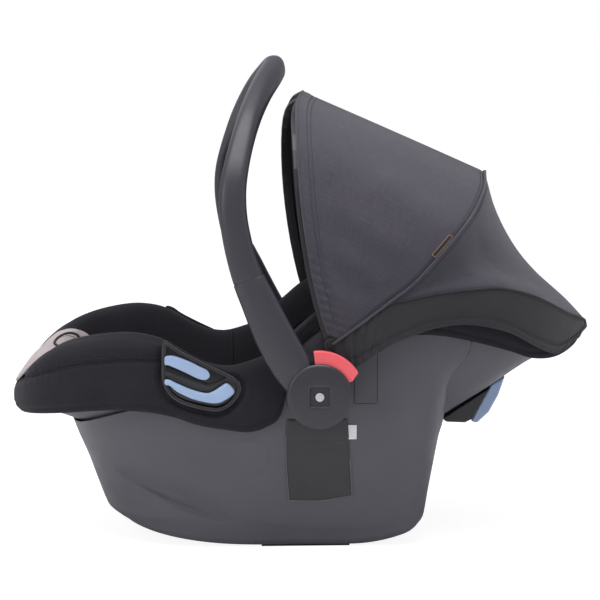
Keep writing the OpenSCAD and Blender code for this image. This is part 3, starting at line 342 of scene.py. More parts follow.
REACH, HALF_W, PLAN_N, BOWL_N, SHELL_WALL, FLANGE_W, SOFT_GAP = 321, 172, 2.2, 2.6, 4, 6, 0.6
END_TURN, END_STEPS = 100, 12


def plan(k, out=0.0):
    """Point of half the rim: k runs from 0 at the foot to 36 at the head."""
    k, out = np.broadcast_arrays(np.asarray(k, float), np.asarray(out, float))
    ends = REACH - END_TURN + out
    foot = np.radians(90 * np.clip(k, 0, END_STEPS) / END_STEPS)
    head = np.radians(90 * np.clip(3 * END_STEPS - k, 0, END_STEPS) / END_STEPS)
    x = np.where(k < END_STEPS, -END_TURN - ends * np.cos(foot)**(2 / PLAN_N),
                 np.where(k <= 2 * END_STEPS, -END_TURN + 2 * END_TURN * (k - END_STEPS) / END_STEPS,
                          END_TURN + ends * np.cos(head)**(2 / PLAN_N)))
    turn = np.where(k < END_STEPS, np.sin(foot), np.sin(head))**(2 / PLAN_N)
    return x, (HALF_W + out) * np.where((k > END_STEPS) & (k < 2 * END_STEPS), 1, turn)


def rim_w(x, out=0.0):
    a = np.maximum(0, np.abs(x) - END_TURN) / (REACH - END_TURN + out)
    return (HALF_W + out) * np.maximum(0, 1 - a**PLAN_N)**(1 / PLAN_N)


def lean(x, z):
    """How far the bucket's wall has come in from the rim at height z."""
    rim, keel = curve(RIM, x), curve(KEEL, x)
    f = np.clip((rim - z) / (rim - keel), 0, 0.9)
    return rim_w(x) * (1 - (1 - f**BOWL_N)**(1 / BOWL_N))
print("rim", 2 * REACH, "mm long and", 2 * HALF_W, "mm wide")

# %% [markdown]
# Most soft pieces are sheets or closed skins through a grid of points. The others start as a
# copy of their solid: doubled points are merged, triangles are joined to quads, and the
# result is subdivided, with firm creases where the solid has an edge.

# %% Meshes from grids of points, and fine copies of solids
CREASE, CREASE_ANGLE, JOIN_ANGLE = 0.75, 38, 40


def new_object(name, mesh, material):
    """Links a mesh to the scene with one finish or a list of them, smoothly shaded."""
    ob = bpy.data.objects.new(name, mesh)
    scene.collection.objects.link(ob)
    mesh.materials.clear()
    for m in material if isinstance(material, (list, tuple)) else [material]:
        mesh.materials.append(m)
    mesh.polygons.foreach_set("use_smooth", [True] * len(mesh.polygons))
    return ob


def grid_mesh(name, points, material, close_u=False, close_v=False, caps=False):
    """Mesh through points[u][v] in millimetres, with a UV map in metres."""
    points = np.asarray(points, float) * MM
    nu, nv = points.shape[:2]
    us = np.arange(nu if close_u else nu - 1)
    vs = np.arange(nv if close_v else nv - 1)
    u0, v0 = [a.ravel() for a in np.meshgrid(us, vs, indexing="ij")]
    u1, v1 = (u0 + 1) % nu, (v0 + 1) % nv
    quads = np.stack([u0 * nv + v0, u1 * nv + v0, u1 * nv + v1, u0 * nv + v1], 1)
    faces = [list(q) for q in quads.tolist()]
    if caps:
        faces += [list(range(nv))[::-1], [(nu - 1) * nv + j for j in range(nv)]]
    mesh = bpy.data.meshes.new(name)
    mesh.from_pydata(points.reshape(-1, 3).tolist(), [], faces)
    du = np.linalg.norm(np.diff(points, axis=0, append=points[:1]), axis=2)
    dv = np.linalg.norm(np.diff(points, axis=1, append=points[:, :1]), axis=2)
    middle = nv // 2
    u_at = np.concatenate([[0], np.cumsum(du[:, middle])])
    v_at = np.concatenate([[0], np.cumsum(dv.mean(axis=0))])
    uv = np.zeros((len(mesh.loops), 2))
    corner_u = np.stack([u0, u0 + 1, u0 + 1, u0], 1)
    corner_v = np.stack([v0, v0, v0 + 1, v0 + 1], 1)
    uv[:4 * len(quads), 0] = u_at[corner_u].ravel()
    uv[:4 * len(quads), 1] = v_at[corner_v].ravel()
    layer = mesh.uv_layers.new(name="UVMap")
    layer.data.foreach_set("uv", uv.ravel())
    face_out(mesh)
    return new_object(name, mesh, material)


def face_out(mesh):
    """Turns the faces of a closed mesh outward; an open one keeps its side."""
    work = bmesh.new()
    work.from_mesh(mesh)
    if all(len(e.link_faces) == 2 for e in work.edges):
        bmesh.ops.recalc_face_normals(work, faces=work.faces)
        if work.calc_volume(signed=True) < 0:
            bmesh.ops.reverse_faces(work, faces=work.faces)
    work.to_mesh(mesh)
    work.free()


def rows_of(items, key):
    """A property of three numbers for every vertex or face, as rows."""
    rows = np.empty(len(items) * 3)
    items.foreach_get(key, rows)
    return rows.reshape(-1, 3)


def box_uv(mesh):
    """UV map in metres from whichever axis each face looks along."""
    layer = mesh.uv_layers.get("UVMap") or mesh.uv_layers.new(name="UVMap")
    loop_vertex = np.empty(len(mesh.loops), int)
    mesh.loops.foreach_get("vertex_index", loop_vertex)
    sizes = np.empty(len(mesh.polygons), int)
    mesh.polygons.foreach_get("loop_total", sizes)
    axis = np.repeat(np.abs(rows_of(mesh.polygons, "normal")).argmax(1), sizes)
    pick = np.array([[1, 2], [0, 2], [0, 1]])[axis]
    uv = np.take_along_axis(rows_of(mesh.vertices, "co")[loop_vertex], pick, 1)
    layer.data.foreach_set("uv", uv.ravel())


def opened(node, name, distance):
    """Copy of a solid's mesh, opened for work, with its doubled points merged."""
    mesh = frame["nodes"][node].data.copy()
    mesh.name = name
    work = bmesh.new()
    work.from_mesh(mesh)
    bmesh.ops.remove_doubles(work, verts=work.verts, dist=distance)
    return mesh, work


def closed_up(mesh, work):
    """Ends the work on a mesh: faces outward, and a UV map."""
    bmesh.ops.recalc_face_normals(work, faces=work.faces)
    work.to_mesh(mesh)
    work.free()
    box_uv(mesh)
    return mesh


def sharp_edges(work, angle):
    return [edge for edge in work.edges
            if len(edge.link_faces) == 2 and edge.calc_face_angle(0) > math.radians(angle)]


def refine(ob, levels):
    finer = ob.modifiers.new("finer", "SUBSURF")
    finer.levels = finer.render_levels = levels
    return ob


def thicken(ob, thickness, lining=0):
    """Gives a sheet its thickness in millimetres, inward; lining is the step to its inner finish."""
    thick = ob.modifiers.new("thickness", "SOLIDIFY")
    thick.thickness = thickness * MM
    thick.offset = -1
    thick.material_offset = lining


def fine_copy(node, name, material, levels=2, crease_angle=CREASE_ANGLE):
    """Copy of a solid, in quads and subdivided; its sharp edges stay firm."""
    mesh, work = opened(node, name, 1e-5)
    bmesh.ops.dissolve_degenerate(work, edges=work.edges, dist=1e-6)
    bmesh.ops.join_triangles(work, faces=work.faces, angle_face_threshold=math.radians(JOIN_ANGLE),
                             angle_shape_threshold=math.radians(180), cmp_seam=False, cmp_sharp=False,
                             cmp_uvs=False, cmp_vcols=False, cmp_materials=False)
    layers = work.edges.layers.float
    crease = layers.get("crease_edge") or layers.new("crease_edge")
    for edge in sharp_edges(work, crease_angle):
        edge[crease] = CREASE
    return refine(new_object(name, closed_up(mesh, work), material), levels)


def tell(*objects):
    """Prints what a cell has made."""
    print(", ".join(f"{ob.name}: {len(ob.data.polygons)} faces" for ob in objects))


def settle(ob):
    """Applies the modifiers of a piece, so that its mesh can be worked on further."""
    mesh = bpy.data.meshes.new_from_object(ob.evaluated_get(bpy.context.evaluated_depsgraph_get()))
    ob.modifiers.clear()
    ob.data = mesh
    return ob


def stand_in(ob, body, slot, *nodes):
    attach(ob, body)
    if nodes:
        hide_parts(*nodes)
    return ob

# %% [markdown]
# ## Stitches and piping
# A seam shows as a row of short stitches. A Geometry Nodes tree puts them there: it walks
# along a curve at the stitch's pitch, sets a small rounded thread at every point and turns
# it along the curve. The result is realised and kept as a plain mesh.

# %% Geometry Nodes trees for stitches and piping
def begin_tree(name, *numbers):
    """Tree that takes a curve, named numbers and a finish, and gives a mesh."""
    tree = bpy.data.node_groups.new(name, "GeometryNodeTree")
    face = tree.interface
    face.new_socket("Curve", in_out="INPUT", socket_type="NodeSocketGeometry")
    for number in numbers:
        face.new_socket(number, in_out="INPUT", socket_type="NodeSocketFloat")
    face.new_socket("Finish", in_out="INPUT", socket_type="NodeSocketMaterial")
    face.new_socket("Mesh", in_out="OUTPUT", socket_type="NodeSocketGeometry")
    return tree, tree.nodes.new("NodeGroupInput").outputs


def end_tree(tree, given, geometry):
    real = add(tree, "GeometryNodeRealizeInstances", {"Geometry": geometry})
    finish = add(tree, "GeometryNodeSetMaterial",
                 {"Geometry": real.outputs[0], "Material": given["Finish"]})
    tree.links.new(finish.outputs[0], tree.nodes.new("NodeGroupOutput").inputs["Mesh"])
    return tree


def stitch_tree():
    tree, given = begin_tree("stitch_row", "Pitch", "Length", "Thread")
    walk = add(tree, "GeometryNodeCurveToPoints", {"Curve": given["Curve"], "Length": given["Pitch"]},
               mode="LENGTH")
    half = times(tree, given["Length"], 0.5)
    shape = add(tree, "GeometryNodeMeshUVSphere", {"Segments": 6, "Rings": 4, "Radius": 1.0})
    size = add(tree, "ShaderNodeCombineXYZ", {0: given["Thread"], 1: given["Thread"], 2: half})
    sized = add(tree, "GeometryNodeTransform", {"Geometry": shape.outputs[0], "Scale": size.outputs[0]})
    placed = add(tree, "GeometryNodeInstanceOnPoints",
                 {"Points": walk.outputs["Points"], "Instance": sized.outputs[0],
                  "Rotation": walk.outputs["Rotation"]})
    return end_tree(tree, given, placed.outputs[0])


def piping_tree():
    tree, given = begin_tree("piping", "Radius", "Step")
    even = add(tree, "GeometryNodeResampleCurve", {"Curve": given["Curve"], "Length": given["Step"]},
               mode="LENGTH")
    profile = add(tree, "GeometryNodeCurvePrimitiveCircle", {"Resolution": 10, "Radius": given["Radius"]})
    tube = add(tree, "GeometryNodeCurveToMesh",
               {"Curve": even.outputs[0], "Profile Curve": profile.outputs[0], "Fill Caps": True})
    return end_tree(tree, given, tube.outputs[0])


STITCH_TREE = stitch_tree()
PIPING_TREE = piping_tree()
print("trees", [tree.name for tree in bpy.data.node_groups])


def line_object(name, runs, closed=False):
    """Poly curve through runs of points in millimetres."""
    data = bpy.data.curves.new(name, "CURVE")
    data.dimensions = "3D"
    for points in runs:
        spline = data.splines.new("POLY")
        spline.points.add(len(points) - 1)
        flat = np.concatenate([np.asarray(points, float) * MM, np.ones((len(points), 1))], 1)
        spline.points.foreach_set("co", flat.ravel())
        spline.use_cyclic_u = closed
    ob = bpy.data.objects.new(name, data)
    scene.collection.objects.link(ob)
    return ob


def from_tree(name, tree, runs, material, closed=False, **inputs):
    line = line_object(name + "_line", runs, closed)
    maker = line.modifiers.new("maker", "NODES")
    maker.node_group = tree
    inputs["Finish"] = material
    for item in tree.interface.items_tree:
        if item.name in inputs:
            maker[item.identifier] = inputs[item.name]
    mesh = bpy.data.meshes.new_from_object(line.evaluated_get(bpy.context.evaluated_depsgraph_get()))
    mesh.name = name
    bpy.data.objects.remove(line)
    if not mesh.uv_layers:
        box_uv(mesh)
    return new_object(name, mesh, material)


def stitches(name, runs, pitch=3.2, length=2.2, thread=0.32, material=None, closed=False):
    return from_tree(name, STITCH_TREE, runs, material or THREAD, closed,
                     Pitch=pitch * MM, Length=length * MM, Thread=thread * MM)


def piping(name, runs, radius, material=None, closed=False, step=1.5):
    return from_tree(name, PIPING_TREE, runs, material or PIPING, closed,
                     Radius=radius * MM, Step=step * MM)

# %% [markdown]
# ## Small hard parts
# The hubs, buttons, plates and the buckle are right as solids, but real mouldings have no
# razor edges. A merged copy of each gets flat faces, a small Bevel and hardened normals. A
# flat moulding is an outline in side view, given a thickness.

# %% Copies with rounded edges, and flat mouldings
def round_edges(ob, size, segments=3, angle=40, harden=False):
    edge = ob.modifiers.new("rounded", "BEVEL")
    edge.width = size * MM
    edge.segments = segments
    edge.limit_method = "ANGLE"
    edge.angle_limit = math.radians(angle)
    edge.harden_normals = harden
    return ob


def crisp_copy(node, name, material, bevel=0.6, flat_angle=1.0, sharp=34):
    mesh, work = opened(node, name, 2e-6)
    bmesh.ops.dissolve_limit(work, angle_limit=math.radians(flat_angle), verts=work.verts,
                             edges=work.edges)
    bmesh.ops.recalc_face_normals(work, faces=work.faces)
    for edge in sharp_edges(work, sharp):
        edge.smooth = False
    return round_edges(new_object(name, closed_up(mesh, work), material), bevel, 3, sharp, True)


def flat_moulding(name, line, y_span, signs, material):
    """Outline in side view (x, z) made solid between two distances from the middle plane,
    on the sides whose signs of y are given."""
    work = bmesh.new()
    for sign in signs:
        inner, outer = [[work.verts.new((x * MM, sign * y * MM, z * MM)) for x, z in line]
                        for y in y_span]
        work.faces.new(inner)
        work.faces.new(outer[::-1])
        for i in range(len(line)):
            j = (i + 1) % len(line)
            work.faces.new((inner[j], inner[i], outer[i], outer[j]))
    return new_object(name, closed_up(bpy.data.meshes.new(name), work), material)

# %% [markdown]
# ## Shell
# The bucket and its outer skirt are one thin moulding each. Their solids are lofts with
# broad facets. A copy with its triangles joined to quads and subdivided has the soft, even
# curves of a moulding, while its lips and edges stay firm through creases.

# %% Shell pieces
bucket = fine_copy("bucket_shell", "bucket", SHELL, 2)
stand_in(bucket, "shell", "shell_plastic", "bucket_shell")
tell(bucket)

# %% [markdown]
# The outer shell is lofted anew from its own formulas, with many more stations than the
# solid has, so that its foot corner stays crisp. Its side also gets what is too fine for the
# solid: a leaf-shaped scoop that ends in a crease, a raised round field, and a low step that
# follows the rocker and turns up toward the head end.

# %% Outer shell
SIDE_WALL = [(0, -34), (40, -24), (90, -11), (130, 1.5), (150, 4.1), (175, 4.4), (290, 4.4)]
FOOT_WALL = [(0, -200), (24, -213), (36, -229), (90, -251), (136, -269), (290, -300)]
HEAD_WALL = [(0, 126), (21, 138), (33, 142), (57, 146), (90, 152), (123, 158), (140, 163), (165, 166.5),
             (192, 178), (231, 221), (290, 226)]
FOOT_TURN, HEAD_TURN, FOOT_N, FOOT_N_LOW, HEAD_N, WAIST, EDGE_R = -60, 108, 2.4, 3.3, 3.2, 118, 5
FOOT_K, SIDE_K, HEAD_K = 22, 32, 44
FLAT_HALF, ROCK_FOOT, ROCK_HEAD, PAD_T, LIP_W, FLANGE_H = 50, 600, 170, 2, 18, 8
SCOOP_TOP = [(-215, 87), (-198, 94), (-178, 97), (-157, 91), (-138, 82), (-119, 69), (-99, 55),
             (-84, 36)]
SCOOP_LOW = [(-215, 86), (-198, 76), (-178, 67), (-157, 58), (-138, 50), (-119, 42), (-99, 36),
             (-84, 34)]
FIELD = [(-300, 300), (-300, 34), (-85, 33), (-40, 26), (20, 20), (60, 19.5), (92, 24), (105, 36),
         (111, 60), (114, 120), (115, 300)]


def side_y(z):
    return HALF_W + curve(SIDE_WALL, z)


def skirt_plan(k, z, inset=0.0):
    """Point of half the outer shell at height z: k runs from 0 at the foot to HEAD_K."""
    foot = np.radians(90 * np.clip(k, 0, FOOT_K) / FOOT_K)
    head = np.radians(90 * np.clip(HEAD_K - k, 0, HEAD_K - SIDE_K) / (HEAD_K - SIDE_K))
    t = np.clip((k - FOOT_K) / (SIDE_K - FOOT_K), 0, 1)
    foot_n = FOOT_N + (FOOT_N_LOW - FOOT_N) * smooth((60 - z) / 40)
    foot_x = FOOT_TURN - (FOOT_TURN - curve(FOOT_WALL, z) - inset) * np.cos(foot)**(2 / foot_n)
    side_x = FOOT_TURN + (HEAD_TURN - FOOT_TURN) * t
    head_x = HEAD_TURN + (curve(HEAD_WALL, z) - HEAD_TURN - inset) * np.cos(head)**(2 / HEAD_N)
    x = np.where(k < FOOT_K, foot_x, np.where(k <= SIDE_K, side_x, head_x))
    turn = np.where(k < FOOT_K, np.sin(foot)**(2 / foot_n), np.sin(head)**(2 / HEAD_N))
    return x, (side_y(z) - inset) * np.where((k >= FOOT_K) & (k <= SIDE_K), 1, turn)


def skirt_low(k, inset):
    z = np.full(k.shape, 20.0)
    for _ in range(3):
        x = skirt_plan(k, z, inset)[0]
        r = np.where(x < 0, ROCK_FOOT, ROCK_HEAD)
        z = PAD_T + r - np.sqrt(r * r - np.maximum(0, np.abs(x) - FLAT_HALF)**2)
    return z


def under_bucket(x, y):
    rim = rim_w(x)
    share_y = np.where(y >= rim - 0.5, 1, np.minimum(1, y / np.maximum(rim, 1e-6)))
    top, low = curve(RIM, x) - FLANGE_H, curve(KEEL, x)
    return top - (top - low) * np.maximum(0, 1 - share_y**BOWL_N)**(1 / BOWL_N) - 3 * SOFT_GAP


def skirt_top(k, inset):
    z = np.full(k.shape, 180.0)
    for _ in range(4):
        z = under_bucket(*skirt_plan(k, z, inset))
    return z


def skirt_edge(k, inset):
    """The upper edge, kept below its own dips at the foot end."""
    at = skirt_top(k, inset)
    near = np.minimum(np.minimum(skirt_top(np.maximum(k - 1, 0), inset), skirt_top(k + 1, inset)), at)
    return np.where((k > 0) & (k <= FOOT_K), near, at)


SCOOP_DEEP, STEP_DEEP, FIELD_MID, FIELD_R = 6.0, 0.9, (-62, 108), 22


def side_forms(x, z):
    """How far the side is pressed in at (x, z): the scoop, less the raised field and its step."""
    top, low = curve(SCOOP_TOP, x), curve(SCOOP_LOW, x)
    f = np.clip((top - z) / np.maximum(top - low, 1), 0, 1)
    scoop_x = (x - SCOOP_TOP[0][0]) / (SCOOP_TOP[-1][0] - SCOOP_TOP[0][0])
    ends = np.sqrt(np.sin(np.pi * np.clip(scoop_x, 0, 1)))
    scoop = SCOOP_DEEP * f**1.2 * ends * (1 - smooth((low - z) / 6))
    from_mid = np.hypot(np.maximum(x - FIELD_MID[0], 0), z - FIELD_MID[1])
    round_end = STEP_DEEP * smooth((FIELD_R - from_mid) / 3) * smooth((x + 120) / 40)
    in_field = inside_distance(np.stack([x, z], -1), FIELD)
    step = STEP_DEEP * smooth((in_field + 1.5) / 3) * smooth((x + 85) / 60)
    return scoop - round_end * (x < -30) - step + STEP_DEEP


def skirt_grid_half(k):
    """Rings from the rocker's edge up the outside, over the top and down the inside."""
    def level(g, low, edge):
        return low + (WAIST - low) * g if g <= 1 else WAIST + (edge - WAIST) * (g - 1)

    rings = []
    for a in np.linspace(0, 90, 6)[:-1]:
        inset, rise = EDGE_R * (1 - math.sin(math.radians(a))), EDGE_R * (1 - math.cos(math.radians(a)))
        low = skirt_low(k, inset)
        rings.append((*skirt_plan(k, low, inset), low + rise))
    low, edge = skirt_low(k, 0.0) + EDGE_R, skirt_edge(k, 0.0)
    for g in np.concatenate([np.linspace(0, 1, 46), 1 + np.linspace(0, 1, 25)[1:]]):
        z = level(g, low, edge)
        x, y = skirt_plan(k, z)
        sink = side_forms(x, z) * smooth((z - low) / 8) * smooth((edge - z) / 10 + 0.2)
        rings.append((x + sink * 0.3 * (x < -100), np.maximum(0, y - sink), z))
    low, edge = skirt_low(k, float(SHELL_WALL)) + SHELL_WALL, skirt_edge(k, float(SHELL_WALL))
    for g in (2, 1.75, 1.5, 1.25, 1, 0.7, 0.4, 0.1):
        z = level(g, low, edge)
        rings.append((*skirt_plan(k, z, SHELL_WALL + 1.5), z))
    for inset, rise in ((LIP_W, SHELL_WALL), (LIP_W, 0)):
        low = skirt_low(k, float(inset))
        rings.append((*skirt_plan(k, low, inset), low + rise))
    return np.stack([np.stack([x, -y, z], -1) for x, y, z in rings], 1)


skirt_k = np.concatenate([np.linspace(0, FOOT_K, 111), np.linspace(FOOT_K, SIDE_K, 61)[1:],
                          np.linspace(SIDE_K, HEAD_K, 49)[1:]])
skirt_half = skirt_grid_half(skirt_k)
skirt_whole = np.concatenate([skirt_half, skirt_half[-2:0:-1] * (1, -1, 1)])
outer_shell = grid_mesh("outer_shell", skirt_whole, SHELL, close_u=True, close_v=True)
stand_in(outer_shell, "shell", "shell_plastic", "base_skirt")
tell(outer_shell)

# %% [markdown]
# ## Handle
# The handle is a hollow moulding with a broad face and softly rounded edges. Fine copies of
# its arms and bar keep the groove where they meet.

# %% Handle pieces
for side, _ in SIDES:
    arm = crisp_copy("handle_arm_" + side, "arm_" + side, HANDLE, 1.2, flat_angle=0.4)
    stand_in(arm, "handle", "handle_plastic", "handle_arm_" + side)
grip = fine_copy("handle_bar", "grip", HANDLE, 2, crease_angle=50)
stand_in(grip, "handle", "handle_plastic", "handle_bar")
tell(arm, grip)

# %% [markdown]
# ## Floor, backdrop and light
# A white floor holds a soft shadow under the rocker. The world is white where the camera
# looks at it and a quiet grey where it lights the seat, with three large soft lamps.

# %% Floor, world and lamps
def make_floor():
    bpy.ops.mesh.primitive_plane_add(size=24)
    floor = bpy.context.object
    floor.name = "floor"
    material, tree, shader = new_material("studio_floor", (0.9, 0.9, 0.9), 1.0)
    shader.inputs["Specular IOR Level"].default_value = 0
    glow = add(tree, "ShaderNodeEmission", {"Color": (1, 1, 1, 1), "Strength": 1.45})
    mix = add(tree, "ShaderNodeMixShader",
              {0: times(tree, add(tree, "ShaderNodeLightPath").outputs["Is Camera Ray"], 0.62),
               1: shader.outputs[0], 2: glow.outputs[0]})
    tree.links.new(mix.outputs[0], tree.nodes["Material Output"].inputs["Surface"])
    floor.data.materials.append(material)


def make_world():
    world = scene.world = bpy.data.worlds.new("studio")
    world.use_nodes = True
    tree = world.node_tree
    quiet = tree.nodes["Background"]
    quiet.inputs["Color"].default_value = (0.9, 0.92, 1, 1)
    quiet.inputs["Strength"].default_value = 0.42
    white = add(tree, "ShaderNodeBackground", {"Color": (1, 1, 1, 1), "Strength": 1.0})
    ray = add(tree, "ShaderNodeLightPath")
    mix = add(tree, "ShaderNodeMixShader", {0: ray.outputs["Is Camera Ray"], 1: quiet.outputs[0],
                                            2: white.outputs[0]})
    tree.links.new(mix.outputs[0], tree.nodes["World Output"].inputs["Surface"])


def lamp(name, place, aim, size, power):
    data = bpy.data.lights.new(name, "AREA")
    data.shape = "RECTANGLE"
    data.size, data.size_y = size
    data.energy = power
    ob = bpy.data.objects.new(name, data)
    ob.location = place
    ob.rotation_euler = (Vector(place) - Vector(aim)).to_track_quat("Z", "Y").to_euler()
    scene.collection.objects.link(ob)


make_floor()
make_world()
lamp("overhead", (-0.2, -0.5, 2.4), (0, 0, 0.2), (2.4, 1.6), 50)
lamp("foot_side", (-2.3, -1.7, 1.3), (0, 0, 0.25), (0.7, 1.6), 15)
lamp("head_side", (2.3, -1.2, 1.0), (0.1, 0, 0.25), (0.7, 1.4), 3)
lamp("back_rim", (-1.2, 2.2, 1.7), (0, 0, 0.3), (1.6, 1.2), 5)
scene.view_settings.view_transform = "Standard"
print(len(bpy.data.lights), "lamps")

# %% [markdown]
# ## Canopy
# The canopy is three sheets of charcoal cloth sewn together: one from the front bow to the
# ridge, one from the ridge down to the shell's head end, and a skirt round the rim. The skirt's
# cloth is the canopy's cloth with painted shade: about half as bright, for the shade on its
# downward-facing side. Each is a grid of points between two edges, pushed outward or inward a
# little as taut cloth does, with soft folds that run from the pivots, and a Solidify modifier
# for its thickness. Its inner side is a dark lining.

# %% Hoops and edges of the canopy
BOW = np.array([25.0, 0, 237])
BOW_SIDE = 188
FRONT_HOOP = [(0, 0, 0), (-12, 39, 0), (-22, 83, 0), (-29, 127, -3), (-33.5, 170, -11),
              (-35.5, 213, -31), (-35, 245, -70), (-31, 263, -124), (-22, 271.7, -188)]
REAR_HOOP = [(0, 0, 0), (31, 22, 0), (60, 44, 0), (88, 65, 0), (114, 92, -1), (141, 121, -14),
             (163, 143, -56), (180, 164, -114), (190, 178.5, -188)]
SEAM_LINE = [(106, 285, 16), (146, 293, 18), (192, 297, 20), (216, 296, 18), (254, 285, 15),
             (296, 263, 12), (320, 252, 12), (329, 246, 12)]
SKIRT_TOP = [(25, 238, 16), (57, 259, 16), (85, 280, 16), *SEAM_LINE]
HEM_LINE = [(41, 207, 16), (56, 216, 16), (75, 228, 16), (96, 240, 16), (135, 254, 16),
            (175, 258, 16), (222, 247, 14), (257, 228, 12), (281, 218.5, 12), (303, 228, 12),
            (329, 238.5, 12)]
CLOTH_IN, CLOTH_T, CLOTH_GAP = 2.6, 1.8, 0.8
SKIN = CLOTH_IN + CLOTH_T


def hoop(knots, u):
    """Point u steps along half a hoop, from the left pivot (0) to the middle (8)."""
    points = [(BOW[0] + p[0], -BOW_SIDE - p[2], BOW[2] + p[1]) for p in knots]
    return path(points, u)


def rim_seam(knots, u):
    p = path(knots, u)
    return np.stack([p[..., 0], -rim_w(p[..., 0], p[..., 2]), p[..., 1]], -1)


def out_from_pivot(p, d):
    away = p - BOW
    return p + np.asarray(d)[..., None] * away / np.linalg.norm(away, axis=-1, keepdims=True)


def mirrored(start, end, edge, steps=150):
    """A whole edge from the left side over the middle to the right; edge(u) is its left half,
    with u from start to end."""
    side = np.linspace(-1, 1, 2 * steps + 1)
    p = edge(start + (end - start) * (1 - np.abs(side)))
    p[side > 0, 1] *= -1
    return p


def fold(p, start, end, width, height):
    """Height of a soft ridge over the segment from start to end in side view (x, z)."""
    start, end = np.array(start, float), np.array(end, float)
    along = end - start
    length = np.linalg.norm(along)
    rel = p[..., [0, 2]] - start
    s = rel @ along / length**2
    off = (rel[..., 0] * along[1] - rel[..., 1] * along[0]) / length
    fade = smooth(np.clip(s, 0, 1) / 0.25) * smooth((1 - np.clip(s, 0, 1)) / 0.25) * ((s > 0) & (s < 1))
    side = np.clip((np.abs(p[..., 1]) - 90) / 60, 0, 1)
    return height * bell(off, width) * fade * side


def cloth_sheet(name, edge_a, edge_b, across, bulge, material, folds=(), extra=None):
    """Sheet between two whole edges, its swelling given by bulge(t, s): t runs to the middle,
    s from edge to edge. Returns the object and the grid of its outer side."""
    s = np.linspace(0, 1, across + 1)[None, :, None]
    gap = (CLOTH_GAP / np.linalg.norm(edge_b - edge_a, axis=1))[:, None, None]
    s = gap + (1 - 2 * gap) * s
    p = edge_a[:, None] * (1 - s) + edge_b[:, None] * s
    t = 1 - np.abs(np.linspace(-1, 1, len(edge_a)))[:, None]
    rise = SKIN + bulge(t, s[..., 0]) * np.sin(np.radians(90 * np.minimum(1, 1.6 * t + 0.1)))
    for f in folds:
        rise = rise + fold(p, *f)
    if extra is not None:
        rise = rise + extra(p, s[..., 0], t)
    p = out_from_pivot(p, rise)
    ob = grid_mesh(name, p, [material, LINING])
    middle = ob.data.polygons[len(ob.data.polygons) // 2]
    if middle.normal.dot(Vector(middle.center) - Vector(BOW * MM)) < 0:
        ob.data.flip_normals()
    thicken(ob, CLOTH_T, 1)
    return ob, p


def row_on(grid, s, lift=0.35, inset=0):
    """A line of points along the long way of a sheet's grid at share s of its width."""
    at = s * (grid.shape[1] - 1)
    i = np.minimum(np.floor(at).astype(int), grid.shape[1] - 2)
    rest = np.asarray(at - i)
    rows = np.arange(len(grid))
    i = np.broadcast_to(i, rows.shape)
    rest = np.broadcast_to(rest, rows.shape)[:, None]
    p = grid[rows, i] * (1 - rest) + grid[rows, i + 1] * rest
    return out_from_pivot(p, np.full(len(p), lift))[inset:len(p) - inset]


def share(grid, distance):
    """The share of a grid's width that lies distance mm from its first edge, for each row."""
    width = np.linalg.norm(np.diff(grid, axis=1), axis=2).sum(axis=1)
    return np.minimum(distance / width, 1)

# %% [markdown]
# Every sheet has its own small forms: hems and seams drawn in by their stitches, gathers near
# the pivots, and broad soft folds over the side.

# %% Front panel
HEM_W = 13
FRONT_BULGE = 7
front_edge = mirrored(0.3, 8, lambda u: hoop(FRONT_HOOP, u))
ridge_edge = mirrored(0.3, 8, lambda u: hoop(REAR_HOOP, u))


def front_details(p, s, t):
    width = np.linalg.norm(ridge_edge - front_edge, axis=1)[:, None]
    d = s * width
    hem = 1.1 * smooth((HEM_W - d) / 2.5) * smooth(d / 1.5)
    stitch = -0.5 * bell(d - HEM_W, 1.6)
    seam = -1.2 * bell(width - d, 4)
    low = smooth((0.42 - t) / 0.3)
    gathers = 1.0 * np.sin(np.arange(len(p))[:, None] * 1.35) * low * bell(d, 26) * smooth(t / 0.05)
    return (hem + stitch) * smooth(t / 0.1) + seam * smooth(t / 0.15) + gathers


front_folds = [
    ((12, 395), (112, 330), 15, 1.6), ((14, 372), (100, 312), 11, -1.5), ((18, 345), (84, 297), 9, 1.4),
    ((20, 322), (72, 286), 7, -1.3), ((20, 300), (62, 273), 6, 1.2), ((0, 440), (80, 400), 20, -1.2),
    ((10, 480), (90, 500), 26, 1.0), ((60, 420), (150, 372), 22, 1.2), ((90, 500), (170, 420), 30, -1.5),
]
canopy_front, front_grid = cloth_sheet("canopy_front_cloth", front_edge, ridge_edge, 64,
                                       lambda t, s: 4 * s * (1 - s) * FRONT_BULGE * (1 - t), CANOPY,
                                       front_folds, front_details)
tell(canopy_front)

# %% Rear panel and skirt
REAR_SAG = [(0, 0), (0.2, 14), (0.45, 20.5), (0.65, 17.5), (0.85, 6), (1, 0)]
REAR_SEAM = [(89, 281.5, 16), *SEAM_LINE]
rear_top = mirrored(2.25, 8, lambda u: hoop(REAR_HOOP, u))
rear_low = mirrored(0, len(REAR_SEAM) - 1, lambda u: rim_seam(REAR_SEAM, u))


def rear_details(p, s, t):
    width = np.linalg.norm(rear_low - rear_top, axis=1)[:, None]
    d = s * width
    return (-1.2 * bell(d, 4) - 1.0 * bell(width - d, 3)) * smooth(t / 0.1)


rear_folds = [((205, 390), (300, 300), 22, 1.6), ((190, 350), (262, 300), 14, -1.3),
              ((235, 360), (318, 276), 16, -1.4), ((170, 322), (230, 305), 10, 1.2)]
canopy_rear, rear_grid = cloth_sheet("canopy_rear_cloth", rear_top, rear_low, 48,
                                     lambda t, s: -curve(REAR_SAG, s) * np.minimum(1, 1.6 * t), CANOPY,
                                     rear_folds, rear_details)

skirt_top = mirrored(0, len(SKIRT_TOP) - 1, lambda u: rim_seam(SKIRT_TOP, u))
skirt_low = mirrored(0, len(HEM_LINE) - 1, lambda u: rim_seam(HEM_LINE, u))
SKIRT_HEM_W = 9
SKIRT_BULGE = 3


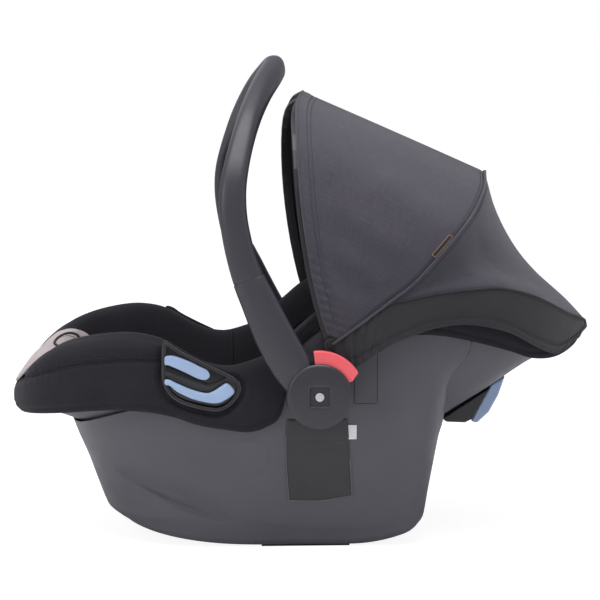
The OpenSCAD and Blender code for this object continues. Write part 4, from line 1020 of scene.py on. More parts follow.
def skirt_details(p, s, t):
    width = np.linalg.norm(skirt_low - skirt_top, axis=1)[:, None]
    d = s * width
    from_hem = width - d
    hem = 0.8 * smooth((SKIRT_HEM_W - from_hem) / 2) - 0.5 * bell(from_hem - SKIRT_HEM_W, 1.4)
    seam = -1.0 * bell(d, 3)
    low = smooth((0.3 - t) / 0.22)
    gathers = 1.1 * np.sin(np.arange(len(p))[:, None] * 0.9 + 2.2 * s) * low * smooth(t / 0.03)
    tail = 1.2 * np.sin(np.arange(len(p))[:, None] * 0.55) * smooth((t - 0.8) / 0.1) * bell(from_hem, 14)
    return hem + seam + gathers + tail


# The skirt takes the canopy cloth with painted shade, about half as bright.
canopy_skirt, skirt_grid = cloth_sheet("canopy_skirt_cloth", skirt_top, skirt_low, 32,
                                       lambda t, s: 4 * s * (1 - s) * SKIRT_BULGE * (1 - t),
                                       SKIRT_CLOTH_PAINTED_SHADE, (), skirt_details)
tell(canopy_rear, canopy_skirt)

# %% [markdown]
# A cord covers the ridge, thinner ones bind the edges, and rows of stitches run beside them.
# A small bare tab with a tan edge is sewn into the ridge.

# %% Seams of the canopy
def raised(line, rise):
    return out_from_pivot(line, np.full(len(line), rise))


ridge_line = raised(mirrored(0.05, 8, lambda u: hoop(REAR_HOOP, u), 156), SKIN + 0.6)
ridge_piping = piping("ridge_piping", [ridge_line], 1.7, CANOPY)
front_lip = piping("front_lip", [row_on(front_grid, np.zeros(len(front_grid)), -0.4)], 1.5, CANOPY)
# The hem cord and the skirt's seam cord take the skirt's cloth with painted shade.
hem_lip = piping("hem_lip", [row_on(skirt_grid, np.ones(len(skirt_grid)), -0.7)], 1.2, SKIRT_CLOTH_PAINTED_SHADE)
seam_cord = piping("skirt_seam", [raised(skirt_top, SKIN - 0.4)[18:-18]], 1.1, SKIRT_CLOTH_PAINTED_SHADE)
front_stitches = stitches("front_hem_stitches",
                          [row_on(front_grid, share(front_grid, d), 0.25, 8) for d in (HEM_W, HEM_W + 5)])
ridge_stitches = stitches("ridge_stitches", [row_on(front_grid, 1 - share(front_grid, 5), 0.2, 10)])
rear_stitches = stitches("rear_ridge_stitches", [row_on(rear_grid, share(rear_grid, 5), 0.2, 2)])
seam_stitches = stitches("skirt_seam_stitches", [row_on(skirt_grid, share(skirt_grid, 4), 0.2, 20)])
hem_stitches = stitches("skirt_hem_stitches", [row_on(skirt_grid, 1 - share(skirt_grid, d), 0.2, 2)
                                               for d in (SKIRT_HEM_W - 1, SKIRT_HEM_W + 3)])

# %% [markdown]
# The tab is a strip of the front sheet's own grid, lifted off it and bound with a thin cord.

# %% Bare tab on the ridge
TAN = cloth_finish("tab_binding", (0.34, 0.2, 0.13), mottle=0.1, pitch=0.0005)
TAB_ROWS, TAB_FROM, TAB_W = slice(73, 88), 2.2, 5
tab_grid = np.stack([row_on(front_grid, 1 - share(front_grid, d), 0.9)[TAB_ROWS]
                     for d in np.linspace(TAB_FROM, TAB_FROM + TAB_W, 5)], 1)
# The tab is made in the skirt's darker cloth, which carries painted shade.
ridge_tab = grid_mesh("ridge_tab", tab_grid, SKIRT_CLOTH_PAINTED_SHADE)
thicken(ridge_tab, 0.8)
tab_round = np.concatenate([tab_grid[:, 0], tab_grid[::-1, -1], tab_grid[:1, 0]])
tab_edge = piping("ridge_tab_edge", [tab_round], 0.5, TAN)
tell(ridge_tab, tab_edge)

# %% [markdown]
# The cloth of the front panel belongs to both bows: it turns with the front bow at its front
# edge and with the rear bow at the ridge. The rear panel turns with the rear bow at the ridge
# and stays with the shell at the rim.

# %% How the canopy moves
FRONT_TOP = tuple(hoop(FRONT_HOOP, 8) * MM * (1, 0, 1))
RIDGE_TOP = tuple(hoop(REAR_HOOP, 8) * MM * (1, 0, 1))
REAR_END = tuple(rim_seam(SEAM_LINE, 3.0) * MM * (1, 0, 1))


for ob, grid, rests in ((canopy_front, front_grid, ["canopy_bow_front", "canopy_bow_rear"]),
                        (canopy_rear, rear_grid, ["canopy_bow_rear", "bucket"]),
                        (canopy_skirt, skirt_grid, ["bucket"])):
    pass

for ob in (canopy_front, front_lip, front_stitches, ridge_stitches):
    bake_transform(ob, "canopy_front", "canopy_rear", start=FRONT_TOP, end=RIDGE_TOP)
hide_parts("canopy_panel_front")
for ob in (canopy_rear, rear_stitches):
    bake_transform(ob, "canopy_rear", "shell", start=RIDGE_TOP, end=REAR_END)
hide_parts("canopy_panel_rear")
for ob in (ridge_piping, ridge_tab, tab_edge):
    stand_in(ob, "canopy_rear", "canopy_fabric")
stand_in(canopy_skirt, "shell", "canopy_fabric", "canopy_skirt")
for ob in (hem_lip, seam_cord, seam_stitches, hem_stitches):
    stand_in(ob, "shell", "canopy_fabric")

# %% [markdown]
# ## Padded cover
# The cover wraps the rim like a roll. Its section runs from the hem outside the shell, over
# the crest and down inside, and changes from the thick foot end to the thin head end. Where
# the belt guide sits, a window is cut in the roll, so the padding dies away toward it.

# %% Section of the cover round the rim
WINDOW = [(-161, 240), (-162, 220), (-162, 199), (-157, 185), (-150, 177), (-140, 171), (-125, 166),
          (-111, 163), (-100, 162), (-89, 166), (-80, 174), (-74, 184), (-74, 193), (-79, 200),
          (-92, 208), (-119, 221), (-140, 232), (-152, 240)]
SIDE_SEAM = [(-334, 186), (-321, 187), (-300, 196), (-280, 204), (-255, 211), (-227, 216), (-200, 219),
             (-164, 219)]
OVER_FINE = 7
ROLL_DEEP, ROLL_SHARE, PAD_FOOT, PAD_HEAD = 50, 0.45, 9, 2.5


def roll_depth(top, keel):
    """How far the roll reaches down inside the shell."""
    return np.minimum(ROLL_DEEP, ROLL_SHARE * (top - keel - SHELL_WALL))


def cover_sections(k):
    """Sections of the cover at stations k: [station, point, (outward, height)]."""
    x = plan(k)[0]
    low, top, rim, keel = curve(COVER_LOW, x), curve(CREST, x), curve(RIM, x), curve(KEEL, x)
    pad = PAD_FOOT + (PAD_HEAD - PAD_FOOT) * np.clip((x + 90) / 80, 0, 1)
    depth = roll_depth(top, keel)
    edge = FLANGE_W + SOFT_GAP
    b = edge + pad

    def rise(t):
        return low + (top - low) * t

    zero = np.zeros_like(x)
    over = [(edge + pad * 0.35, low), (b, rise(0.18)), (b + pad * 0.1, rise(0.45)), (b, rise(0.66)),
            (FLANGE_W + pad * 0.6, rise(0.87)), (zero + FLANGE_W - 3, rise(0.97)), (zero - 5, top),
            (zero - 13, top - depth * 0.12), (zero - 18, top - depth * 0.45),
            (-20 - lean(x, top - depth), top - depth)]
    inner = top - depth
    middle, screw_room = (rim + inner) / 2, 2 + 3 * SOFT_GAP
    under = [(-SHELL_WALL - 2 * SOFT_GAP - lean(x, inner), inner),
             (-SHELL_WALL - 2 * SOFT_GAP - lean(x, middle), np.maximum(middle, inner + 1)),
             (zero - SHELL_WALL - SOFT_GAP, rim + screw_room), (zero + edge, rim + screw_room),
             (zero + edge, np.minimum(rim - 8 - SOFT_GAP, low + 60)), (zero + edge - 0.5, low + 0.5)]
    over = np.array(over).transpose(0, 2, 1)
    under = np.array(under).transpose(0, 2, 1)
    fine = path(list(over), np.linspace(0, 9, 9 * OVER_FINE + 1))
    rest = np.concatenate([under[i] + (under[i + 1] - under[i]) * np.array([0.0, 0.5])[:, None, None]
                           for i in range(5)] + [under[5:]])
    return np.concatenate([fine, rest]).transpose(1, 0, 2)


def cover_grid(k, sections, push=0.0):
    """Points of the left half from stations and sections."""
    out = sections[..., 0] + push
    x, y = plan(np.broadcast_to(np.asarray(k)[:, None], out.shape), out)
    return np.stack([x, -y, sections[..., 1]], -1)


# %% [markdown]
# The smaller forms come on top of that shape. The padding thins toward the window, a sewn
# groove runs along the side under a full roll, small puckers cross it, and a line of
# stitching draws the hem in.

# %% The cover's mesh
SIDE_END, SEAM_END, HEM_END = 5.6, 4.6, 3
half_k = np.concatenate([np.linspace(0, 12, 97), np.linspace(12, 24, 121)[1:],
                         np.linspace(24, 36, 73)[1:]])
sections = cover_sections(half_k)
half = cover_grid(half_k, sections)
number = np.arange(sections.shape[1]) / OVER_FINE
out = sections[..., 0]
thinned = smooth((inside_distance(half[..., [0, 2]], WINDOW) + 9) / 9) * (number <= SIDE_END)
out += (np.minimum(FLANGE_W + SOFT_GAP + 1.5, out) - out) * thinned
above = half[..., 2] - curve(SIDE_SEAM, half[..., 0])
groove = 2.4 * bell(above, 2.6)
roll = 2.6 * smooth(above / 14) * smooth((above - 34) / -20)
puckers = 0.35 * np.sin(half[..., 0] * 0.9) * bell(above, 9)
out += (roll - groove + puckers) * ((number <= SEAM_END) & (half[..., 0] < -162))
from_hem = half[..., 2] - curve(COVER_LOW, half[..., 0]) - 8
out -= 1.4 * bell(from_hem, 1.8) * (number <= HEM_END)
half = cover_grid(half_k, sections)
cover = grid_mesh("cover", np.concatenate([half, half[-2:0:-1] * (1, -1, 1)]), COVER, close_u=True,
                  close_v=True)
stand_in(cover, "shell", "cover_fabric", "seat_cover")
tell(cover)

# %% [markdown]
# Seams and stitches lie on the cover's side. A search tree finds the point of the cover that
# is nearest to a place in side view.

# %% Places on the cover
side_points = half[:, :int(SIDE_END * OVER_FINE)].reshape(-1, 3)
side_tree = kdtree.KDTree(len(side_points))
for i, p in enumerate(side_points):
    side_tree.insert((p[0], 0, p[2]), i)
side_tree.balance()


def on_cover(x, z, lift):
    """Places on the outer side of the cover, left half, at side-view positions (x, z)."""
    found = [side_tree.find((a, 0, b))[1] for a, b in zip(x, z)]
    return side_points[found] - (0, lift, 0)


def both_sides(points):
    return [points, points * (1, -1, 1)]


def eased(points, rounds=3):
    """Evens out small steps along a line of points."""
    points = points.copy()
    for _ in range(rounds):
        points[1:-1] = (points[:-2] + points[1:-1] * 2 + points[2:]) / 4
    return points


# %% Seams of the cover
seam_x = np.linspace(-312, -164, 90)
seam_z = curve(SIDE_SEAM, seam_x)
cover_seam = piping("cover_seam", both_sides(eased(on_cover(seam_x, seam_z, 0.2), 8)), 0.7, COVER)
cover_stitches = stitches("cover_stitches", both_sides(eased(on_cover(seam_x, seam_z + 4, 0.3), 8)),
                          3.4, 2.4, 0.26)
inner_seams = []
for at in (-77, 96):
    k_at = np.interp(at, plan(half_k)[0], half_k)
    run = cover_grid([k_at], cover_sections(np.array([k_at])))[0, int(6.3 * OVER_FINE):9 * OVER_FINE]
    inner_seams += both_sides(run + (0, 0.5, 0))
for ob in (cover_seam, cover_stitches, piping("inner_seams", inner_seams, 0.7, COVER)):
    stand_in(ob, "shell", "cover_fabric")
tell(cover_seam, cover_stitches)

# %% [markdown]
# ### Window for the vehicle belt
# The edge of the window is bound with piping. Inside it a black moulding carries two blue
# bars that the lap belt is led through. Each bar is an outline given a thickness and a
# rounded edge.

# %% Belt guides in the window
GUIDE_TOP = [(-158, 224), (-154, 225.5), (-147, 225), (-133, 220), (-120, 213.5), (-112, 209.5),
             (-109.5, 206), (-109, 202.5), (-112, 199.5), (-116, 199), (-123, 201), (-138, 208.5),
             (-154, 215.5), (-158, 216)]
GUIDE_LOW = [(-158, 199), (-153, 199), (-146, 195.5), (-130, 188.5), (-118, 184.8), (-110, 184),
             (-103, 187), (-97.5, 190.5), (-91, 194.5), (-86.5, 192.5), (-82.5, 188), (-82, 184),
             (-86, 180), (-94, 174.8), (-101, 172.6), (-112, 173.5), (-129, 178), (-145, 186),
             (-152, 192), (-158, 194)]
GUIDE_SLOT = [(-158, 213), (-150, 211), (-135, 204), (-118, 196.5), (-108, 194), (-100, 196),
              (-94, 199.5), (-90, 202), (-84, 200), (-82, 195), (-86, 196), (-91, 198), (-98, 194),
              (-105, 190), (-112, 188), (-124, 191), (-140, 197.5), (-152, 203), (-158, 204)]
WINDOW_PIECES = (("window_moulding", WINDOW, (180.4, 182.2), GLOSS_BLACK, 0.6, "black_plastic"),
                 ("guide_upper_bar", GUIDE_TOP, (182, 190), BLUE, 2.6, "blue_plastic"),
                 ("guide_lower_hook", GUIDE_LOW, (182, 190), BLUE, 2.6, "blue_plastic"),
                 ("guide_slot", GUIDE_SLOT, (182, 186), GLOSS_BLACK, 1.4, "black_plastic"))
window_pieces = {}
for name, outline, y_span, material, bevel, slot in WINDOW_PIECES:
    line = closed_curve(outline, 4 * len(outline))
    window_pieces[name] = round_edges(flat_moulding(name, line, y_span, (-1, 1), material), bevel)
    stand_in(window_pieces[name], "shell", slot)
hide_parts("belt_guide_left", "belt_guide_right")
tell(*window_pieces.values())

# %% [markdown]
# The piping follows the window's outline, a little inside it. Its stitches lie outside it,
# along the lower edge only, where the cloth shows.

# %% Piping and stitches round the window
PIPING_IN, STITCH_OUT = 3.2, 4.6
window_line = closed_curve(WINDOW, 120)
tangent = np.roll(window_line, -1, axis=0) - np.roll(window_line, 1, axis=0)
tangent /= np.linalg.norm(tangent, axis=1, keepdims=True)
inward = np.stack([-tangent[:, 1], tangent[:, 0]], 1)
inward *= np.sign(((window_line.mean(0) - window_line) * inward).sum(1)[0])
window_line = window_line + inward * PIPING_IN
ring_y = 183.8 + 2.6 * smooth((window_line[:, 1] - 180) / -20)
window_ring = np.stack([window_line[:, 0], -ring_y - 1.2, window_line[:, 1]], -1)
window_piping = piping("window_piping", both_sides(window_ring), 2.1, PIPING, closed=True)
away = window_line - window_line.mean(0)
outer_ring = window_line + away / np.linalg.norm(away, axis=1)[:, None] * STITCH_OUT
below = outer_ring[:, 1] < 198
order = np.roll(np.arange(len(below)), -int(np.argmax(~below)))
order = order[below[order]]
ring_far = np.stack([outer_ring[:, 0], -ring_y - 2.6, outer_ring[:, 1]], -1)
window_stitches = stitches("window_stitches", both_sides(ring_far[order]), 3.0, 2.1, 0.3)
for ob in (window_piping, window_stitches):
    stand_in(ob, "shell", "cover_fabric")
tell(window_piping, window_stitches)

# %% [markdown]
# ### Pale panel at the foot end
# A pale piece of cloth is sewn into the roll at the foot end. It starts narrow at the outer
# seam and widens over the crest to the inside, with a bound slot on each side.

# %% Foot panel
PANEL_START, PANEL_END, PANEL_STEPS = 3.9, 8.9, 60
PANEL_REACH = [(3.3, 2.3), (4.5, 3.0), (5.6, 4.0), (6.2, 4.25), (7.3, 4.9), (8.4, 5.8), (9, 6.2)]


def panel_grid(lift):
    """Grid on the cover: columns follow its section, rows its stations from left to right."""
    j = np.linspace(PANEL_START, PANEL_END, 60)
    share_k = np.linspace(-1, 1, 2 * PANEL_STEPS + 1)
    k = np.abs(share_k)[:, None] * curve(PANEL_REACH, j)[None, :]
    grid = np.empty((*k.shape, 3))
    for col in range(k.shape[1]):
        s = cover_sections(k[:, col])
        at = j[col] * OVER_FINE
        i = int(at)
        sec = s[:, i] + (s[:, i + 1] - s[:, i]) * (at - i)
        along = s[:, i + 2] - s[:, max(i - 1, 0)]
        along /= np.linalg.norm(along, axis=1, keepdims=True)
        normal = np.stack([along[:, 1], -along[:, 0]], 1)
        from_start = min(1, (j[col] - PANEL_START) / 0.15 + 0.15)
        edge = np.minimum(1, np.minimum((1 - np.abs(share_k)) / 0.06, from_start))
        sec = sec + normal * (lift * (0.35 + 0.65 * smooth(edge)))[:, None]
        x, y = plan(k[:, col], sec[:, 0])
        grid[:, col] = np.stack([x, np.where(share_k < 0, -y, y), sec[:, 1]], -1)
    return grid


panel = panel_grid(1.6)
foot_panel = grid_mesh("foot_panel_cloth", panel, PALE)
if foot_panel.data.polygons[len(foot_panel.data.polygons) // 2].normal.z < 0:
    foot_panel.data.flip_normals()
thicken(foot_panel, 1.8)
stand_in(foot_panel, "shell", "pale_fabric", "foot_panel")
panel_rows = [row + (0, 0, 0.1) for row in (panel[3, 2:-2], panel[-4, 2:-2], panel[3:-3, 3])]
stand_in(stitches("foot_panel_stitches", panel_rows, 3.2, 2.2, 0.28, PALE), "shell", "pale_fabric")


def on_panel(j, share_k, lift):
    """Places on the panel's upper side, for the far half, lifted a little off it."""
    col = (j - PANEL_START) / (PANEL_END - PANEL_START) * (panel.shape[1] - 1)
    row = PANEL_STEPS * (1 + share_k)
    c, r = np.floor(col).astype(int), np.floor(row).astype(int)
    fc, fr = (col - c)[:, None], (row - r)[:, None]
    p = (panel[r, c] * (1 - fr) + panel[r + 1, c] * fr) * (1 - fc) + (
        panel[r, c + 1] * (1 - fr) + panel[r + 1, c + 1] * fr) * fc
    across = np.cross(panel[r + 1, c] - panel[r, c], panel[r, c + 1] - panel[r, c])
    across *= np.sign(across[:, 2:]) / np.linalg.norm(across, axis=1, keepdims=True)
    return p + across * lift


tell(foot_panel)

# %% [markdown]
# Each slot is an oval on the panel: a bound edge, and inside it a thin dark ring for the gap.
# A row of the table gives its half length and half width in steps of the panel's grid, its
# lift off the cloth and the cord's radius.

# %% Bound slots in the panel
SLOT_AT = 7.3
SLOT_RINGS = (("slot_binding", 0.95, 0.8, 0.12, 1.4, 1.7, PIPING),
              ("slot_gap", 0.8, 0.785, 0.085, 0.9, 1.0, GLOSS_BLACK))
slot_turn = np.linspace(0, 2 * np.pi, 72, endpoint=False)
for name, half_length, middle, half_width, lift, radius, material in SLOT_RINGS:
    ring = on_panel(SLOT_AT + half_length * np.cos(slot_turn), middle + half_width * np.sin(slot_turn), lift)
    slot_ring = piping(name, both_sides(ring), radius, material, closed=True)
    stand_in(slot_ring, "shell", "cover_fabric")
    tell(slot_ring)

# %% [markdown]
# ## Fittings
# The screws, bosses, clips, tongues, the buckle and the adjuster are crisp copies of their
# solids. The table gives each one's new name, its body, its finish and its bevel.

# %% Hard parts with rounded edges
PAIRS = [("hub_screw", "hub_screw_head", "handle", STEEL, "bright_steel", 0.25),
         ("pivot_boss", "pivot_boss_turned", "shell", SHELL, "shell_plastic", 0.4),
         ("canopy_clip", "canopy_clip_pin", "shell", BLACK_PLASTIC, "black_plastic", 0.4),
         ("buckle_tongue", "buckle_tongue_plate", "shell", STEEL, "bright_steel", 0.4)]
FITTINGS = [(node + "_" + side, name + "_" + side, *rest)
            for node, name, *rest in PAIRS for side, _ in SIDES]
FITTINGS += [("buckle_body", "buckle_case", "shell", BLACK_PLASTIC, "black_plastic", 2.4),
             ("splitter_plate", "splitter", "shell", STEEL, "bright_steel", 0.4),
             ("adjuster_body", "adjuster_frame", "shell", STEEL, "bright_steel", 0.4),
             ("rear_guide_bracket", "rear_bracket", "shell", BLACK_PLASTIC, "black_plastic", 1.5),
             ("rear_belt_guide", "rear_blue_guide", "shell", BLUE, "blue_plastic", 2.2),
             ("buckle_button", "buckle_key", "buckle_release", RED, "red_plastic", 0.8),
             ("adjuster_lever", "adjuster_flap", "adjuster", BLACK_PLASTIC, "black_plastic", 0.8)]
for node, name, body, material, slot, bevel in FITTINGS:
    stand_in(crisp_copy(node, name, material, bevel), body, slot, node)
print(len(FITTINGS), "fittings")

# %% [markdown]
# ## Hubs and the pieces below them
# The hub's cover is a slightly domed disc with a soft rim. A square recess in its middle
# holds the screw. Every ring of the mesh is a blend from the round hole to the square and
# out to the round rim, so the whole disc is one clean band of quads.

# %% Hub discs
HUB_X, HUB_Z, HUB_R, HUB_T, COVER_Y = 11, 183, 36, 5, 215
RECESS_HALF, RECESS_DEEP, RECESS_LIP, SCREW_HOLE_R = 11, 2, 0.5, 2.9
RIM_FILLET, RIM_START, DOME, RIM_DROP = 9.0, 0.26, 1.0, 0.42
DOTS_COLOUR = (0.03, 0.03, 0.036)
DOTS, dots_tree, dots_shader = new_material("dotted_recess", DOTS_COLOUR, 0.45)
dots_cells = add(dots_tree, "ShaderNodeTexVoronoi",
                 {"Vector": where_is(dots_tree), "Scale": 620, "Randomness": 0.0})
dots_rise = spread(dots_tree, dots_cells.outputs["Distance"], 1, 0, 0.25, 0.45)
tint(dots_tree, dots_shader, DOTS_COLOUR, spread(dots_tree, dots_rise, 0.5, 1.9, 0, 1))
bump(dots_tree, dots_shader, dots_rise, 0.0002)


def hub_disc(side, sign):
    """Rings given as (radius, height over COVER_Y), from the screw hole out to the rim."""
    turn = np.linspace(0, 2 * np.pi, 96, endpoint=False)
    square = RECESS_HALF / np.maximum(np.abs(np.cos(turn)), np.abs(np.sin(turn)))
    square = np.minimum(square, RECESS_HALF * 1.36)
    floor_at, flat_r = HUB_T - RECESS_DEEP, HUB_R - RIM_FILLET
    rings = [(SCREW_HOLE_R, 0.0), (SCREW_HOLE_R, floor_at)]
    rings += [(SCREW_HOLE_R + (square - 0.3 - SCREW_HOLE_R) * t, floor_at) for t in (0.3, 0.6, 0.9, 1.0)]
    dotted = slice(1, len(rings) - 1)
    lip = square + RECESS_LIP
    rings += [(square, floor_at + 0.4), (square, HUB_T - RECESS_LIP), (lip, HUB_T)]
    rings += [(lip + (flat_r - lip) * t, HUB_T - DOME * t * t) for t in (0.2, 0.4, 0.6, 0.8, 1)]
    for a in np.linspace(RIM_START, math.pi / 2, 7):
        drop = RIM_FILLET * RIM_DROP * (1 - math.cos(a))
        rings.append((flat_r + RIM_FILLET * math.sin(a), HUB_T - DOME - drop))
    rings += [(HUB_R, 0.2), (HUB_R - 0.3, 0.0)]
    points = np.stack([np.stack([HUB_X + r * np.cos(turn), sign * (COVER_Y + d) + 0 * turn,
                                 HUB_Z + r * np.sin(turn)], -1) for r, d in rings], 1)
    ob = grid_mesh("hub_disc_" + side, points, [HUB, DOTS], close_u=True, close_v=True)
    marks = np.zeros((len(turn), len(rings)), int)
    marks[:, dotted] = 1
    ob.data.polygons.foreach_set("material_index", marks.ravel())
    return ob


for side, sign in SIDES:
    disc = stand_in(hub_disc(side, sign), "handle", "hub_plastic", "hub_cover_" + side)
tell(disc)

# %% [markdown]
# A red key fills part of the gap round each hub: a piece of a ring with one cut corner. The
# coil behind it sits on the arm.

# %% Release keys and their coils
KEY_IN, KEY_OUT, KEY_Y, CORNER_R, CORNER_AT = 28, 50, (204, 213), 40, 24.5
OUTER_TURN, INNER_TURN = (31, 97.5), (98, 26)


def round_hub(radius, degrees):
    a = np.radians(degrees)
    return np.stack([HUB_X + radius * np.cos(a), HUB_Z + radius * np.sin(a)], -1)


key_line = np.concatenate([round_hub(KEY_OUT, np.linspace(*OUTER_TURN, 30)),
                           round_hub(KEY_IN, np.linspace(*INNER_TURN, 24)),
                           round_hub(CORNER_R, np.array([CORNER_AT]))])
for side, sign in SIDES:
    key = round_edges(flat_moulding("release_key_" + side, key_line, KEY_Y, (sign,), RED), 1.8, 4)
    stand_in(key, "release_" + side, "red_plastic", "release_button_" + side)
    coil = crisp_copy("button_spring_" + side, "release_coil_" + side, STEEL, 0.05)
    stand_in(coil, "handle", "bright_steel", "button_spring_" + side)
    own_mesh(coil)
tell(key, coil)

# %% [markdown]
# A soft flap hangs below each hub, flat against the shell. It has slanted sides, a lower
# edge that sags a little, a thin bound rim and three fine grooves under the hub.

# %% Flaps
FLAP = plastic("flap_skin", (0.028, 0.027, 0.031), 0.5, cloud=0.12)
FLAP_RIM = plastic("flap_rim", (0.12, 0.118, 0.13), 0.45)
FLAP_TOP, FLAP_LOW = 152, [(0, 56.5), (0.5, 56), (1, 61.5)]
FLAP_FOOT_EDGE, FLAP_HEAD_TOP, FLAP_HEAD_SPREAD = [(0, -23.5), (0.35, -24.3), (1, -20)], 44.5, 6.5
FLAP_PUFF, FLAP_T, GROOVE_DEEP, GROOVE_W, GROOVES = 1.6, 1.3, 0.8, 0.9, (127, 121, 117, 112)


def flap_grid(lift):
    """Outer side of a flap, lifted off the shell: u runs toward the head end, v downward."""
    u = np.linspace(0, 1, 29)[:, None]
    v = np.linspace(0, 1, 61)[None, :]
    z = FLAP_TOP + (curve(FLAP_LOW, u) - FLAP_TOP) * v
    x = curve(FLAP_FOOT_EDGE, v) * (1 - u) + (FLAP_HEAD_TOP + FLAP_HEAD_SPREAD * v) * u
    puff = FLAP_PUFF * np.sin(math.pi * u)**0.6 * np.sin(math.pi * np.clip(v * 0.9 + 0.08, 0, 1))**0.5
    grooves = sum(GROOVE_DEEP * bell(z - 3 * u - h, GROOVE_W) for h in GROOVES)
    return np.stack([x + 0 * z, side_y(z) + lift + puff - grooves, z], -1)


def skinned(name, grid, thickness, material):
    """Thin plate from an outer grid on the left side, given a thickness and mirrored."""
    both = []
    for side, sign in SIDES:
        outer = grid * (1, sign, 1)
        inner = (grid - (0, thickness, 0)) * (1, sign, 1)
        ring = np.concatenate([outer, inner[:, ::-1]], axis=1)
        both.append(grid_mesh(name + "_" + side, ring, material, close_v=True, caps=True))
    return both


flap_outer = flap_grid(1.5)
for ob, (side, _) in zip(skinned("flap", flap_outer, FLAP_T, FLAP), SIDES):
    stand_in(ob, "shell", "black_plastic", "side_plate_" + side)
flap_edge = np.concatenate([flap_outer[0, 12:], flap_outer[1:-1, -1], flap_outer[-1, :30:-1]])
flap_rims = piping("flap_rims", both_sides(flap_edge * (1, -1, 1)), 0.55, FLAP_RIM)
stand_in(flap_rims, "shell", "black_plastic")
tell(ob, flap_rims)

# %% [markdown]
# Beside each hub a small door covers the socket for a pushchair. Only the thin gap round it
# shows, so a fine dark line is laid along two of its sides. Below it hangs a small bare tag.

# %% Doors and tags
DOOR_X, DOOR_Z, DOOR_GAP_R = (52, 77.4), (169.6, 232), 0.45
TAG_X, TAG_Z, TAG_T = (44.8, 54.6), (129, 145.5), 0.8
DOOR = plastic("door_grain", (0.07, 0.068, 0.08), 0.5, depth=0.00005, wear=0.0)
for side, _ in SIDES:
    stand_in(crisp_copy("adapter_cover_" + side, "adapter_door_" + side, DOOR, 0.5), "shell",
             "shell_plastic", "adapter_cover_" + side)
upright_z = np.linspace(DOOR_Z[1], DOOR_Z[0] + 1.4, 30)
level_x = np.linspace(DOOR_X[1] - 0.9, DOOR_X[0], 14)
door_x = np.concatenate([np.full(30, DOOR_X[1]), level_x])
door_z = np.concatenate([upright_z, np.full(14, DOOR_Z[0])])
door_line = np.stack([door_x, -side_y(door_z) - 0.1, door_z], -1)
door_gap = piping("door_gap", both_sides(door_line), DOOR_GAP_R, GLOSS_BLACK)
stand_in(door_gap, "shell", "black_plastic")
tag_x, tag_z = np.meshgrid(np.linspace(*TAG_X, 12), np.linspace(*TAG_Z, 18), indexing="ij")
tag_lift = 1.1 + 0.5 * (tag_x - TAG_X[0]) / (TAG_X[1] - TAG_X[0])
tags = skinned("blank_tag", np.stack([tag_x, side_y(tag_z) + tag_lift, tag_z], -1), TAG_T, TAG)
for ob in tags:
    stand_in(ob, "shell", "tag_fabric")
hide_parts("side_tags")
tell(door_gap, *tags)

# %% [markdown]
# ## Seat cushion
# The cushion is padded cloth, so it is blown up a little: its solid is remeshed finely, made
# a cloth with pressure inside, and kept within a millimetre of where its solid ends. The sewn
# channels are pressed in afterwards.

# %% Padded pieces by cloth simulation
VOXEL, PRESSURE, STIFF, INSET, ROOM, FRAMES = 5.0, 4.0, 25, 3.0, 1.0, 20


def swell(ob, cap):
    """Remeshes a closed piece, lets cloth under pressure push it out by at most cap mm, and
    keeps it within ROOM mm of where its solid ends."""
    remesh = ob.modifiers.new("even", "REMESH")
    remesh.mode = "VOXEL"
    remesh.voxel_size = VOXEL * MM
    settle(ob)
    start, normals = rows_of(ob.data.vertices, "co"), rows_of(ob.data.vertices, "normal")
    slim = start - normals * INSET * MM
    ob.data.vertices.foreach_set("co", slim.ravel())
    cloth = ob.modifiers.new("cloth", "CLOTH")
    cloth.settings.quality = 4
    cloth.settings.use_pressure = True
    cloth.settings.uniform_pressure_force = PRESSURE
    cloth.settings.effector_weights.gravity = 0
    cloth.settings.tension_stiffness = cloth.settings.compression_stiffness = STIFF
    cloth.point_cache.frame_end = FRAMES
    for frame_number in range(1, FRAMES + 1):
        scene.frame_set(frame_number)
    settle(ob)
    scene.frame_set(1)
    shift = rows_of(ob.data.vertices, "co") - slim
    size = np.linalg.norm(shift, axis=1, keepdims=True)
    shift *= np.minimum(1, cap * MM / np.maximum(size, 1e-9))
    beyond = ((slim + shift - start) * normals).sum(axis=1, keepdims=True)
    final = slim + shift - normals * np.maximum(0, beyond - ROOM * MM)
    ob.data.vertices.foreach_set("co", final.ravel())
    print(ob.name, "swelled by up to", round(float(size.max()) * 1000, 1), "mm")
    ob.data.update()
    return ob


def press(ob, lines, depth, width):
    """Presses sewn channels into the upper side: lines are segments in plan (x, y), mirrored."""
    co, normals = rows_of(ob.data.vertices, "co"), rows_of(ob.data.vertices, "normal")
    at = np.stack([co[:, 0], np.abs(co[:, 1])], 1) / MM
    push = np.zeros(len(co))
    for a, b in lines:
        a, b = np.array(a, float), np.array(b, float)
        t = np.clip(((at - a) @ (b - a)) / ((b - a) @ (b - a)), 0, 1)
        d = np.linalg.norm(at - a - t[:, None] * (b - a), axis=1)
        push = np.maximum(push, bell(d, width))
    push *= smooth(normals[:, 2] / 0.3)
    ob.data.vertices.foreach_set("co", (co - normals * (push * depth * MM)[:, None]).ravel())
    ob.data.update()


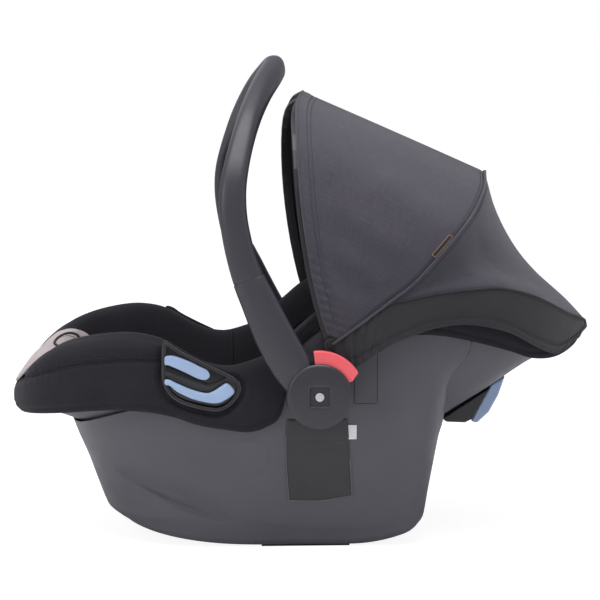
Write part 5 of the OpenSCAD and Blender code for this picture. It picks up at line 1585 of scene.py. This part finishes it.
CHANNELS = [((-262, 62), (-120, 66)), ((-120, 66), (-20, 84)), ((-20, 84), (90, 96)), ((90, 96), (200, 84)),
            ((200, 84), (283, 62)), ((-120, 0), (-120, 66)), ((-120, 66), (-120, 150)), ((60, 0), (60, 92)),
            ((60, 92), (60, 150)), ((150, 0), (150, 84))]
HEAD_CHANNELS = [((178, 0), (266, 0)), ((190, 46), (262, 42))]
for node, name, cap, channels, depth, width, fill in (
        ("seat_cushion", "seat_pad", 6.0, CHANNELS, 2.6, 3.2, 0.6),
        ("head_cushion", "head_pad", 8.0, HEAD_CHANNELS, 3.0, 3.5, 0.8)):
    pad = settle(refine(swell(fine_copy(node, name, CUSHION, 1), cap), 1))
    press(pad, channels, depth, width)
    box_uv(pad.data)
    stand_in(pad, "shell", "cushion_fabric", node)
    tell(pad)

# %% [markdown]
# The foam liner lies between shell and cushion. Its upper edge is taped over in the cover's
# cloth, so no bare foam shows between the cushion and the cover.

# %% Foam liner
TAPE_DEEP = 16
foam = fine_copy("foam_liner", "foam", FOAM, 1)
foam.data.materials.append(COVER)
centre = rows_of(foam.data.polygons, "center") / MM
crest, keel = curve(CREST, centre[:, 0]), curve(KEEL, centre[:, 0])
taped = centre[:, 2] > crest - roll_depth(crest, keel) - TAPE_DEEP
foam.data.polygons.foreach_set("material_index", taped.astype(int))
stand_in(foam, "shell", "white_foam", "foam_liner")
tell(foam)

# %% [markdown]
# ## Harness
# Webbing is a flat woven band with a firm edge. The shoulder
# and crotch pads are padded sleeves round it.

# %% Straps and pads
for node in ("shoulder_strap_left", "shoulder_strap_right", "hip_strap_left", "hip_strap_right",
             "crotch_strap", "adjuster_strap"):
    stand_in(fine_copy(node, node.replace("strap", "webbing"), WEBBING, 1), "shell", "webbing", node)
for node in ("shoulder_pad_left", "shoulder_pad_right", "crotch_pad"):
    pad = fine_copy(node, node.replace("pad", "sleeve"), PAD, 2, crease_angle=80)
    stand_in(pad, "shell", "harness_pad_fabric", node)
print("six straps and three pads")

# %% [markdown]
# ## Solids that keep their shape
# The rocker's pads, the screws under them, the canopy's bows and the lock gears are right as
# they are. Every solid gets the finish of its slot.

# %% Finishes of the solids that stay
SLOT_FINISH = {
    "shell_plastic": SHELL, "handle_plastic": HANDLE, "hub_plastic": HUB, "black_plastic": BLACK_PLASTIC,
    "blue_plastic": BLUE, "red_plastic": RED, "bow_plastic": BLACK_PLASTIC, "pad_rubber": RUBBER,
    "bright_steel": STEEL, "white_foam": FOAM, "cover_fabric": COVER, "cushion_fabric": CUSHION,
    "pale_fabric": PALE, "canopy_fabric": CANOPY, "webbing": WEBBING, "harness_pad_fabric": PAD,
    "tag_fabric": TAG,
}
slots = {row["node"]: row["material_slot"] for row in frame["record"]["subparts"]}
for node, ob in frame["nodes"].items():
    ob.data.materials.clear()
    ob.data.materials.append(SLOT_FINISH[slots[node]])
print(len(frame["nodes"]), "solids with a finish")
